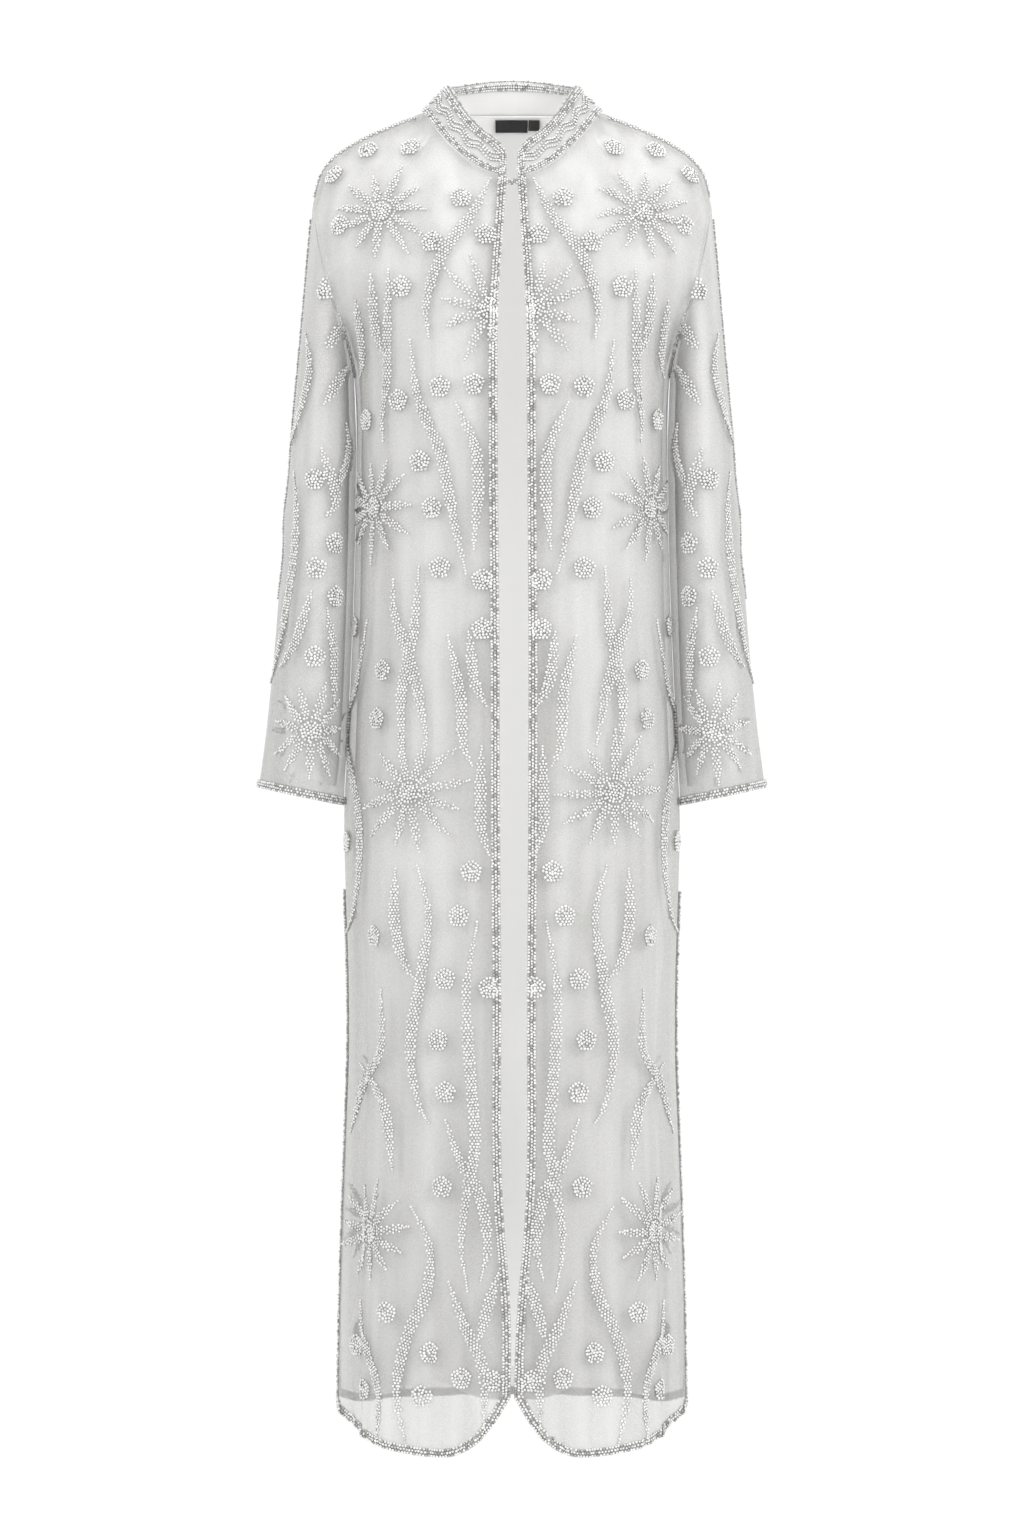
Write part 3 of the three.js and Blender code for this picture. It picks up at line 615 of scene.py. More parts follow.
class Cloth:
    """A smooth sheet through a net, with a place and a normal anywhere on it."""

    def __init__(
        self,
        net: np.ndarray,
        across: float,
        down: float,
        outward: np.ndarray,
        wraps: bool = False,
    ) -> None:
        """Makes the fine sheet.

        Args:
            net: columns by rows by 3, in millimetres.
            across: the spacing of the fine columns.
            down: the spacing of the fine rows.
            outward: a point that the sheet's outside faces away from, at each height.
            wraps: whether the last column joins the first.
        """
        self.wraps = wraps
        if wraps:
            pad = 3
            net = np.concatenate((net[-pad:], net, net[: pad + 1]))
            places = fine_places(net, across)
            places = places[(places >= pad) & (places < len(net) - 1 - pad + 1e-9)]
            places = places[:-1]
            fine = refined_line(net, places)
        else:
            fine = refined_line(net, fine_places(net, across))
        turned = fine.transpose(1, 0, 2)
        fine = refined_line(turned, fine_places(turned, down)).transpose(1, 0, 2)
        self.points = np.ascontiguousarray(fine)
        self.outward = outward
        self.measure()

    def measure(self) -> None:
        """Works out the normals and the shares across from the points."""
        points = self.points
        if self.wraps:
            across = np.roll(points, -1, axis=0) - np.roll(points, 1, axis=0)
        else:
            across = np.gradient(points, axis=0)
        normals = np.cross(across, np.gradient(points, axis=1))
        normals /= np.maximum(np.linalg.norm(normals, axis=2, keepdims=True), 1e-9)
        facing = ((points - self.outward) * normals)[..., :2].sum(axis=2)
        if facing.mean() < 0:
            normals = -normals
        self.normals = normals
        steps = np.linalg.norm(np.diff(points, axis=0), axis=2)
        lengths = np.concatenate((np.zeros((1, points.shape[1])), np.cumsum(steps, axis=0)))
        is_front = 0 < points[0, 0, 0] < COLLAR_FOOT.half and not self.wraps
        start = points[:1, :, 0] if is_front else 0.0
        self.shares = (lengths + start) / (lengths[-1:] + start)
        self._tree = None

    def push(self, lift: np.ndarray) -> "Cloth":
        """Moves the sheet out along its normals.

        Args:
            lift: how far at each point, in millimetres.

        Returns:
            The sheet itself.
        """
        self.points = self.points + self.normals * lift[..., None]
        self.measure()
        return self

    def mirrored(self) -> "Cloth":
        """Returns the sheet mirrored to the wearer's other side."""
        other = object.__new__(Cloth)
        other.wraps = self.wraps
        flip = np.array((-1.0, 1.0, 1.0))
        other.points = self.points * flip
        other.outward = self.outward * flip
        other.normals = self.normals * flip
        other.shares = self.shares
        other._tree = None
        return other

    def index(self, a: np.ndarray, b: np.ndarray) -> tuple[np.ndarray, ...]:
        """The corner numbers and weights of fine places, kept inside the sheet."""
        columns, rows = self.points.shape[:2]
        if self.wraps:
            a = np.mod(a, columns)
        else:
            a = np.clip(a, 0.0, columns - 1.0)
        b = np.clip(b, 0.0, rows - 1.0)
        i = a.astype(int) if self.wraps else np.minimum(a.astype(int), columns - 2)
        j = np.minimum(b.astype(int), rows - 2)
        return i, (i + 1) % columns, j, a - i, b - j

    def at(self, values: np.ndarray, a: np.ndarray, b: np.ndarray) -> np.ndarray:
        """Values of the sheet's points between its fine columns and rows."""
        i, k, j, s, t = self.index(np.asarray(a, float), np.asarray(b, float))
        s, t = s[..., None], t[..., None]
        upper = values[i, j] * (1 - s) + values[k, j] * s
        lower = values[i, j + 1] * (1 - s) + values[k, j + 1] * s
        return upper * (1 - t) + lower * t

    def shifted(self, a: np.ndarray, b: np.ndarray, along: np.ndarray) -> tuple[np.ndarray, np.ndarray]:
        """Moves places on the sheet by short vectors.

        Args:
            a: the places' columns.
            b: the places' rows.
            along: the vectors, in millimetres, near the sheet's plane.

        Returns:
            The new columns and rows.
        """
        columns, rows = self.points.shape[:2]
        if self.wraps:
            before, after = a - 0.5, a + 0.5
        else:
            before, after = np.clip(a - 0.5, 0, columns - 1.5), np.clip(a + 0.5, 0.5, columns - 1)
        above, below = np.clip(b - 0.5, 0, rows - 1.5), np.clip(b + 0.5, 0.5, rows - 1)
        ahead = self.at(self.points, after, b) - self.at(self.points, before, b)
        under = self.at(self.points, a, below) - self.at(self.points, a, above)
        ahead /= (after - before)[..., None]
        under /= (below - above)[..., None]
        aa, bb, ab = ((p * q).sum(axis=-1) for p, q in ((ahead, ahead), (under, under), (ahead, under)))
        pa, pb = (ahead * along).sum(axis=-1), (under * along).sum(axis=-1)
        det = np.maximum(aa * bb - ab * ab, 1e-6)
        return a + (pa * bb - pb * ab) / det, b + (pb * aa - pa * ab) / det

    def quads(self) -> np.ndarray:
        """The sheet's faces as rows of four point numbers."""
        columns, rows = self.points.shape[:2]
        last = columns if self.wraps else columns - 1
        i = np.repeat(np.arange(last), rows - 1)
        j = np.tile(np.arange(rows - 1), last)
        k = (i + 1) % columns
        return np.column_stack((i * rows + j, i * rows + j + 1, k * rows + j + 1, k * rows + j))

    def seen(self, eye: np.ndarray, targets: np.ndarray) -> tuple[np.ndarray, np.ndarray, np.ndarray]:
        """Finds where sight lines meet the sheet.

        Args:
            eye: where the lines start, in millimetres.
            targets: points that they pass, points by 3.

        Returns:
            The columns and rows that they meet, and which lines meet the sheet at all.
        """
        if self._tree is None:
            quads = self.quads()
            triangles = np.concatenate((quads[:, (0, 1, 2)], quads[:, (0, 2, 3)]))
            self._tree = BVHTree.FromPolygons(self.points.reshape(-1, 3).tolist(), triangles.tolist())
            self._quads = quads
        rows = self.points.shape[1]
        flat = self.points.reshape(-1, 3)
        found_a, found_b, met = np.zeros(len(targets)), np.zeros(len(targets)), np.zeros(len(targets), bool)
        start = Vector(eye)
        for n, target in enumerate(targets):
            place, _, face, _ = self._tree.ray_cast(start, Vector(target) - start)
            if face is None:
                place, _, face, _ = self._tree.find_nearest(Vector(target))
            else:
                met[n] = True
            second = face >= len(self._quads)
            quad = self._quads[face - len(self._quads) * second]
            origin = flat[quad[0]]
            corners = (flat[quad[2]] - origin, (flat[quad[3]] if second else flat[quad[1]]) - origin)
            away = np.array(place) - origin
            (u, v), *_ = np.linalg.lstsq(np.column_stack(corners), away, rcond=None)
            column, row = divmod(int(quad[0]), rows)
            found_a[n] = column + u + (v if second else 0.0)
            found_b[n] = row + u + (0.0 if second else v)
        return found_a, found_b, met


@dataclass
class MeshMaker:
    """Gathers points and faces of several shapes into one mesh."""

    points: list[np.ndarray] = field(default_factory=list)
    faces: list[np.ndarray] = field(default_factory=list)
    slots: list[np.ndarray] = field(default_factory=list)
    count: int = 0

    def add(self, points: np.ndarray, faces: np.ndarray, slots: int | np.ndarray = 0) -> None:
        """Adds one shape, with faces as rows of three or four point numbers."""
        self.points.append(points.reshape(-1, 3))
        self.faces.append(faces + self.count)
        self.slots.append(np.zeros(len(faces), int) + slots)
        self.count += len(self.points[-1])

    def build(self, name: str, materials: Sequence[bpy.types.Material]) -> bpy.types.Object:
        """Makes the mesh object.

        Args:
            name: the piece's name.
            materials: its material slots, in order.

        Returns:
            The object, linked to the scene, in metres.
        """
        mesh = bpy.data.meshes.new(name)
        points = np.concatenate(self.points) * MM
        sizes = np.concatenate([np.full(len(f), f.shape[1]) for f in self.faces])
        corners = np.concatenate([f.ravel() for f in self.faces])
        mesh.vertices.add(len(points))
        mesh.vertices.foreach_set("co", points.astype(np.float32).ravel())
        mesh.loops.add(len(corners))
        mesh.loops.foreach_set("vertex_index", corners.astype(np.int32))
        mesh.polygons.add(len(sizes))
        starts = np.concatenate(((0,), np.cumsum(sizes)[:-1]))
        mesh.polygons.foreach_set("loop_start", starts.astype(np.int32))
        mesh.polygons.foreach_set("material_index", np.concatenate(self.slots).astype(np.int32))
        mesh.polygons.foreach_set("use_smooth", np.ones(len(sizes), bool))
        mesh.update(calc_edges=True)
        mesh.validate()
        for material in materials:
            mesh.materials.append(material)
        piece = bpy.data.objects.new(name, mesh)
        bpy.context.scene.collection.objects.link(piece)
        return piece


def icosahedron() -> tuple[np.ndarray, np.ndarray]:
    """The points and faces of a round bead of unit radius."""
    g = (1 + math.sqrt(5)) / 2
    points = [(-1, g, 0), (1, g, 0), (-1, -g, 0), (1, -g, 0), (0, -1, g), (0, 1, g)]
    points += [(0, -1, -g), (0, 1, -g), (g, 0, -1), (g, 0, 1), (-g, 0, -1), (-g, 0, 1)]
    faces = [(0, 11, 5), (0, 5, 1), (0, 1, 7), (0, 7, 10), (0, 10, 11), (1, 5, 9), (5, 11, 4)]
    faces += [(11, 10, 2), (10, 7, 6), (7, 1, 8), (3, 9, 4), (3, 4, 2), (3, 2, 6), (3, 6, 8)]
    faces += [(3, 8, 9), (4, 9, 5), (2, 4, 11), (6, 2, 10), (8, 6, 7), (9, 8, 1)]
    unit = np.array(points, float)
    return unit / np.linalg.norm(unit[0]), np.array(faces)


@dataclass
class Beads:
    """A scatter of small beads that becomes part of one mesh. None lies inside another."""

    closest: float = 0.72
    centres: list[np.ndarray] = field(default_factory=list)
    normals: list[np.ndarray] = field(default_factory=list)
    radii: list[float] = field(default_factory=list)
    cells: dict = field(default_factory=dict)

    CELL = 4.0
    # Bead faces that turn less than this towards the outside take the darker finish: painted shade round each
    # bead's rim and underside
    SHADE_BELOW = 0.26
    STANDS_OUT = 0.75

    def add(self, centres: np.ndarray, normals: np.ndarray, radii: np.ndarray) -> None:
        """Adds beads that keep clear of those already there.

        Args:
            centres: where they sit on the cloth, in millimetres.
            normals: the cloth's normals there.
            radii: their radii.
        """
        for centre, normal, radius in zip(centres, normals, radii):
            key = tuple((centre // self.CELL).astype(int))
            if self.is_free(centre, radius, key):
                self.cells.setdefault(key, []).append(len(self.centres))
                self.centres.append(centre)
                self.normals.append(normal)
                self.radii.append(float(radius))

    def is_free(self, centre: np.ndarray, radius: float, key: tuple[int, int, int]) -> bool:
        """Whether no bead lies too near a place."""
        for dx in (-1, 0, 1):
            for dy in (-1, 0, 1):
                for dz in (-1, 0, 1):
                    for n in self.cells.get((key[0] + dx, key[1] + dy, key[2] + dz), ()):
                        away = centre - self.centres[n]
                        least = self.closest * (radius + self.radii[n])
                        if away @ away < least * least:
                            return False
        return True

    def pour(self, maker: MeshMaker, rng: np.random.Generator) -> None:
        """Adds every bead to a mesh, each turned its own way and sunk a little into the cloth.

        Faces that look away from the cloth take the first finish. Those turned towards it, at the bead's
        sides and underneath, take the second, a darker painted shade.

        Args:
            maker: the mesh that takes the beads.
            rng: the source of the turns.
        """
        if not self.centres:
            return
        shape, faces = icosahedron()
        count = len(self.centres)
        turn = random_turns(count, rng)
        normals = np.array(self.normals)
        radii = np.array(self.radii)[:, None]
        centres = np.array(self.centres) + normals * radii * self.STANDS_OUT
        points = np.einsum("nij,kj->nki", turn, shape) * radii[:, None]
        points = points + centres[:, None]
        all_faces = (faces[None] + np.arange(count)[:, None, None] * len(shape)).reshape(-1, 3)
        looks = np.einsum("nij,kj->nki", turn, shape[faces].mean(axis=1))
        # Painted shade: faces turned towards the cloth are marked for the darker finish
        painted_shade_faces = np.einsum("nki,ni->nk", looks, normals) < self.SHADE_BELOW
        maker.add(points.reshape(-1, 3), all_faces, painted_shade_faces.reshape(-1).astype(int))


def random_turns(count: int, rng: np.random.Generator) -> np.ndarray:
    """Returns count random rotation matrices."""
    q = rng.normal(size=(count, 4))
    w, x, y, z = (q / np.linalg.norm(q, axis=1, keepdims=True)).T
    rows = (
        (1 - 2 * (y * y + z * z), 2 * (x * y - w * z), 2 * (x * z + w * y)),
        (2 * (x * y + w * z), 1 - 2 * (x * x + z * z), 2 * (y * z - w * x)),
        (2 * (x * z - w * y), 2 * (y * z + w * x), 1 - 2 * (x * x + y * y)),
    )
    return np.array(rows).transpose(2, 0, 1)


class Spot(NamedTuple):
    """A motif's centre: how far out from the centre line and how far down from the neck base."""

    out: float
    down: float


class Star(NamedTuple):
    """A star of tapering rays: its centre, its reach, and how many rays it has."""

    out: float
    down: float
    reach: float
    rays: int


# Motifs of one half, as seen from the front: millimetres out from the centre line and down from the neck base
BODY_ROSETTES = (
    Spot(146, 38), Spot(103, 35), Spot(181, 63), Spot(175, 114), Spot(52, 86), Spot(81, 130),
    Spot(27, 123), Spot(112, 176), Spot(73, 277), Spot(38, 275), Spot(115, 291), Spot(147, 311),
    Spot(94, 353), Spot(81, 400), Spot(73, 461), Spot(30, 473), Spot(30, 523), Spot(159, 520),
    Spot(131, 565), Spot(136, 614), Spot(167, 739), Spot(41, 769), Spot(54, 814), Spot(139, 834),
    Spot(68, 878), Spot(23, 887), Spot(75, 940), Spot(67, 993), Spot(71, 1089), Spot(128, 1216),
    Spot(157, 1249), Spot(83, 1257), Spot(151, 1294), Spot(92, 1301), Spot(51, 1283), Spot(19, 1286),
)
SLEEVE_ROSETTES = (
    Spot(188, 178), Spot(225, 340), Spot(200, 371), Spot(179, 436), Spot(199, 461), Spot(179, 490),
    Spot(200, 551),
)
BODY_STARS = (
    Star(133, 100, 52, 11), Star(22, 198, 50, 11), Star(140, 400, 50, 11), Star(104, 689, 56, 12),
    Star(143, 1134, 50, 11),
)
SLEEVE_STARS = (Star(204, 627, 50, 11),)
BODY_SPRIGS = (
    ((22, 67), (41, 103), (70, 142), (87, 195), (84, 229)),
    ((143, 164), (137, 224), (128, 247)),
    ((125, 159), (126, 233), (127, 274), (131, 311), (130, 333)),
    ((158, 190), (151, 250), (153, 268)),
    ((103, 230), (95, 289), (73, 343), (58, 417), (46, 468)),
    ((57, 293), (37, 340), (34, 373), (39, 443)),
    ((120, 473), (119, 506), (102, 558), (90, 615), (85, 642)),
    ((94, 460), (99, 523), (112, 593), (109, 654)),
    ((146, 514), (158, 584), (167, 615), (165, 654), (158, 689), (153, 742), (161, 813), (170, 839)),
    ((65, 530), (53, 584), (48, 645), (39, 664)),
    ((44, 526), (36, 581), (25, 603)),
    ((31, 642), (32, 680), (31, 726), (23, 754)),
    ((118, 766), (119, 819), (107, 866), (95, 881)),
    ((96, 763), (84, 813), (93, 878), (103, 950), (93, 1009), (83, 1026)),
    ((35, 820), (46, 884), (46, 918), (41, 989), (37, 1047), (43, 1081), (51, 1146), (44, 1197)),
    ((67, 1021), (53, 1061), (34, 1094), (25, 1152), (32, 1184)),
    ((132, 889), (134, 956), (147, 977), (163, 1034)),
    ((153, 963), (130, 1006), (121, 1073)),
    ((102, 1109), (83, 1150), (86, 1193), (105, 1238), (117, 1294), (107, 1353)),
    ((64, 1185), (46, 1234), (30, 1271), (29, 1333)),
    ((14, 1176), (30, 1230), (35, 1249)),
    ((153, 1204), (150, 1242), (135, 1294), (137, 1348)),
)
SLEEVE_SPRIGS = (
    ((207, 130), (212, 179), (215, 233)),
    ((208, 224), (205, 260), (218, 315), (225, 338)),
    ((220, 364), (218, 400), (221, 453), (232, 523), (245, 584)),
    ((170, 205), (177, 220), (189, 240)),
    ((168, 256), (177, 273), (191, 296)),
    ((193, 340), (179, 395), (189, 410)),
    ((169, 315), (167, 343), (181, 390)),
    ((203, 485), (221, 540), (235, 562)),
    ((188, 502), (182, 540), (181, 601)),
)


# Rings of a rosette: the radius in millimetres and how many beads
ROSETTE_RINGS = ((0.0, 1), (3.2, 6), (6.3, 12), (9.3, 17))


@dataclass(frozen=True)
class Embroiderer:
    """Sews bead motifs on a sheet, at places given as seen from the front or the back."""

    cloth: Cloth
    beads: Beads
    side: Side
    face: Face
    rng: np.random.Generator
    bead_radius: float = 1.5
    bead_spread: tuple[float, float] = (0.9, 1.12)
    pitch: float = 3.2
    sprig_width: float = 13.2
    rosette_bead_scale: float = 1.14
    rosette_wave: float = 0.07
    rosette_scatter: float = 0.18
    row_scatter: float = 0.22
    band_scatter: float = 0.25
    ray_reach: tuple[float, float] = (0.9, 1.16)
    ray_turn: float = 0.12
    ray_pitch: float = 0.95
    band_pitch: float = 0.92
    ray_start: float = 8.0
    ray_width: float = 10.4
    ray_root: float = 0.14
    ray_fullness: float = 0.7

    def eye(self) -> np.ndarray:
        """Where the sight lines start, in millimetres."""
        sign = -1.0 if self.face is Face.FRONT else 1.0
        return np.array((0.0, sign * EYE_DISTANCE, EYE_Z))

    def targets(self, places: np.ndarray) -> np.ndarray:
        """The points in the plane of the side seams for places as out and down."""
        x = places[:, 0] * self.side.value
        return np.column_stack((x, np.zeros(len(places)), -places[:, 1]))

    def sew(self, a: np.ndarray, b: np.ndarray, radius: float) -> None:
        """Adds beads at places of the cloth, leaving out those past its edges."""
        columns, rows = self.cloth.points.shape[:2]
        inside = (b > 0.0) & (b < rows - 1.0)
        if not self.cloth.wraps:
            inside &= (a > 0.0) & (a < columns - 1.0)
        a, b = a[inside], b[inside]
        radii = radius * self.rng.uniform(*self.bead_spread, len(a))
        self.beads.add(self.cloth.at(self.cloth.points, a, b), self.cloth.at(self.cloth.normals, a, b), radii)

    def spread(self, a: float, b: float, offsets: np.ndarray) -> tuple[np.ndarray, np.ndarray]:
        """Lays flat offsets out on the cloth round one place.

        Args:
            a: the place's column.
            b: its row.
            offsets: sideways and upward offsets in millimetres, points by 2.

        Returns:
            The columns and rows of the offset points.
        """
        at_a, at_b = np.array([a]), np.array([b])
        normal = self.cloth.at(self.cloth.normals, at_a, at_b)[0]
        sideways = np.cross((0.0, 0.0, 1.0), normal)
        sideways /= max(np.linalg.norm(sideways), 1e-6)
        upward = np.cross(normal, sideways)
        along = offsets[:, :1] * sideways + offsets[:, 1:] * upward
        count = len(offsets)
        half_a, half_b = self.cloth.shifted(np.full(count, a), np.full(count, b), along / 2)
        return self.cloth.shifted(half_a, half_b, along / 2)

    def rosette(self, spot: Spot) -> None:
        """Sews a round cluster of beads in rings."""
        a, b, met = self.cloth.seen(self.eye(), self.targets(np.array([spot])))
        if not met[0]:
            return
        offsets = []
        for radius, count in ROSETTE_RINGS:
            start = self.rng.uniform(0, 2 * math.pi)
            for k in range(count):
                angle = start + k / count * 2 * math.pi
                wavy = radius * (1 + self.rosette_wave * math.sin(5 * angle))
                reach = wavy + self.rng.normal(0, self.rosette_scatter)
                offsets.append((reach * math.cos(angle), reach * math.sin(angle)))
        self.sew(*self.spread(a[0], b[0], np.array(offsets)), self.bead_radius * self.rosette_bead_scale)

    def rows_along(self, points: np.ndarray, widths: np.ndarray) -> np.ndarray:
        """Flat bead places in rows across a path.

        Args:
            points: the path's points, a bead's pitch apart, points by 2.
            widths: the band's width at each.

        Returns:
            The beads' places, points by 2.
        """
        tangents = np.gradient(points, axis=0)
        tangents /= np.maximum(np.linalg.norm(tangents, axis=1, keepdims=True), 1e-9)
        places = []
        for n, (point, tangent, width) in enumerate(zip(points, tangents, widths)):
            count = max(1, round(width / self.pitch))
            if count > 1 and n % 2:
                count -= 1
            across = np.array((-tangent[1], tangent[0]))
            for k in range(count):
                offset = (k - (count - 1) / 2) * self.pitch
                places.append(point + across * offset + self.rng.normal(0, self.row_scatter, 2))
        return np.array(places)

    def star(self, star: Star) -> None:
        """Sews a star: a full centre and rays that widen and then taper to a point."""
        a, b, met = self.cloth.seen(self.eye(), self.targets(np.array([star[:2]])))
        if not met[0]:
            return
        self.rosette(Spot(star.out, star.down))
        start = self.rng.uniform(0, math.pi / star.rays)
        for k in range(star.rays):
            turned = k + self.rng.uniform(-self.ray_turn, self.ray_turn)
            angle = start + turned / star.rays * 2 * math.pi
            reach = star.reach * self.rng.uniform(*self.ray_reach)
            along = np.arange(self.ray_start, reach, self.pitch * self.ray_pitch)
            points = np.column_stack((along * math.cos(angle), along * math.sin(angle)))
            share = (along - self.ray_start) / (reach - self.ray_start)
            swell = np.sin(math.pi * (share * (1 - self.ray_root) + self.ray_root))
            widths = self.ray_width * np.clip(swell, 0, 1) ** self.ray_fullness
            self.sew(*self.spread(a[0], b[0], self.rows_along(points, widths)), self.bead_radius)

    def sprig(self, places: Sequence[tuple[float, float]]) -> None:
        """Sews a curved band of beads that is thin at both ends."""
        controls = np.array([(x, 0.0, z) for x, z in places], float)
        fine = np.array([centripetal_point(controls, t, False) for t in np.linspace(0, 1, 40)])[:, (0, 2)]
        a, b, met = self.cloth.seen(self.eye(), self.targets(fine))
        if met.sum() < 3:
            return
        a, b = a[met], b[met]
        if self.cloth.wraps:
            a = np.unwrap(a, period=self.cloth.points.shape[0])
        self.band(a, b, self.sprig_width)

    def band(self, a: np.ndarray, b: np.ndarray, width: float, taper: float = 0.62) -> None:
        """Sews a band of beads along places of the cloth.

        Args:
            a: the places' columns, in order.
            b: their rows.
            width: the band's full width in millimetres.
            taper: how soon it narrows at its ends; 0 keeps it even.
        """
        points = self.cloth.at(self.cloth.points, a, b)
        lengths = np.concatenate(((0.0,), np.cumsum(np.linalg.norm(np.diff(points, axis=0), axis=1))))
        along = np.arange(0.0, lengths[-1], self.pitch * self.band_pitch)
        if len(along) < 3:
            return
        a, b = np.interp(along, lengths, a), np.interp(along, lengths, b)
        widths = width * np.clip(np.sin(math.pi * along / lengths[-1]), 0, 1) ** taper
        centre = self.cloth.at(self.cloth.points, a, b)
        normal = self.cloth.at(self.cloth.normals, a, b)
        across = np.cross(normal, np.gradient(centre, axis=0))
        across /= np.maximum(np.linalg.norm(across, axis=1, keepdims=True), 1e-9)
        for n, wide in enumerate(widths):
            count = max(1, round(wide / self.pitch))
            if count > 1 and n % 2:
                count -= 1
            offsets = (np.arange(count) - (count - 1) / 2) * self.pitch
            offsets = offsets + self.rng.normal(0, self.band_scatter, count)
            vectors = across[n] * offsets[:, None]
            places = self.cloth.shifted(np.full(count, a[n]), np.full(count, b[n]), vectors)
            self.sew(*places, self.bead_radius)

    def motifs(
        self,
        rosettes: Iterable[Spot],
        stars: Iterable[Star],
        sprigs: Iterable[Sequence[tuple[float, float]]],
    ) -> None:
        """Sews the stars first, then the rosettes and the sprigs round them."""
        for star in stars:
            self.star(star)
        for spot in rosettes:
            self.rosette(spot)
        for places in sprigs:
            self.sprig(places)


@dataclass(frozen=True)
class EdgeTrim:
    """A beaded band along an edge of a sheet: a narrow tape with rows of beads."""

    width: float = TRIM_WIDTH
    rows: int = 3
    bead_radius: float = 1.62
    pitch: float = 3.15
    tape_lift: float = 0.5
    tape_thickness: float = 0.5
    scatter: float = 0.2
    tape_inset: float = 0.8
    closest: float = 0.7
    bead_spread: tuple[float, float] = (0.88, 1.06)
    probe_reach: float = 5.0

    def line(self, cloth: Cloth, a: np.ndarray, b: np.ndarray, inset: float) -> tuple[np.ndarray, np.ndarray]:
        """A line on the sheet that stands in from an edge.

        Args:
            cloth: the sheet.
            a: the edge's columns, in order.
            b: the edge's rows.
            inset: how far in, in millimetres.

        Returns:
            The line's columns and rows.
        """
        points = cloth.at(cloth.points, a, b)
        normals = cloth.at(cloth.normals, a, b)
        inward = np.cross(normals, np.gradient(points, axis=0))
        inward /= np.maximum(np.linalg.norm(inward, axis=1, keepdims=True), 1e-9)
        middle = np.array([(cloth.points.shape[0] - 1) / 2, (cloth.points.shape[1] - 1) / 2])
        n = len(a) // 2
        reach = inward[n : n + 1] * self.probe_reach
        probe = np.array(cloth.shifted(a[n : n + 1], b[n : n + 1], reach))[:, 0]
        here = np.array((a[n], b[n]))
        towards = middle - here
        if cloth.wraps:
            towards[0] = 0.0
        if (probe - here) @ towards < 0:
            inward = -inward
        return cloth.shifted(a, b, inward * inset)

    def sew(
        self,
        cloth: Cloth,
        a: np.ndarray,
        b: np.ndarray,
        maker: MeshMaker,
        rng: np.random.Generator,
    ) -> int:
        """Adds the tape and the beads of one edge to a mesh.

        Args:
            cloth: the sheet.
            a: the edge's columns, in order.
            b: the edge's rows.
            maker: the mesh that takes the shapes.
            rng: the source of small differences.

        Returns:
            How many beads were sewn.
        """
        points = cloth.at(cloth.points, a, b)
        lengths = np.concatenate(((0.0,), np.cumsum(np.linalg.norm(np.diff(points, axis=0), axis=1))))
        even = np.arange(0.0, lengths[-1], self.pitch)
        a, b = np.interp(even, lengths, a), np.interp(even, lengths, b)
        beads = Beads(self.closest)
        for row in range(self.rows):
            inset = (row + 0.5) * self.width / self.rows
            shift = 0.5 * (row % 2)
            places = np.arange(len(a) - 1) + shift
            row_a, row_b = (np.interp(places, np.arange(len(a)), v) for v in (a, b))
            row_a, row_b = self.line(cloth, row_a, row_b, inset)
            normals = cloth.at(cloth.normals, row_a, row_b)
            centres = cloth.at(cloth.points, row_a, row_b) + normals * self.tape_lift
            centres = centres + rng.normal(0, self.scatter, centres.shape)
            radii = self.bead_radius * rng.uniform(*self.bead_spread, len(row_a))
            beads.add(centres, normals, radii)
        beads.pour(maker, rng)
        insets = (self.tape_inset, self.width - self.tape_inset)
        edges = [self.line(cloth, a, b, inset) for inset in insets]
        loops = []
        for lift in (self.tape_lift, self.tape_lift + self.tape_thickness):
            for line_a, line_b in edges:
                normals = cloth.at(cloth.normals, line_a, line_b)
                loops.append(cloth.at(cloth.points, line_a, line_b) + normals * lift)
        ring = np.stack((loops[0], loops[1], loops[3], loops[2]), axis=1)
        count = len(ring)
        i = np.repeat(np.arange(count - 1), 4)
        k = np.tile(np.arange(4), count - 1)
        faces = np.column_stack((i * 4 + k, i * 4 + (k + 1) % 4, (i + 1) * 4 + (k + 1) % 4, (i + 1) * 4 + k))
        ends = np.array([(3, 2, 1, 0), (4 * count - 4, 4 * count - 3, 4 * count - 2, 4 * count - 1)])
        maker.add(ring, np.concatenate((faces, ends)), 2)
        return len(beads.centres)


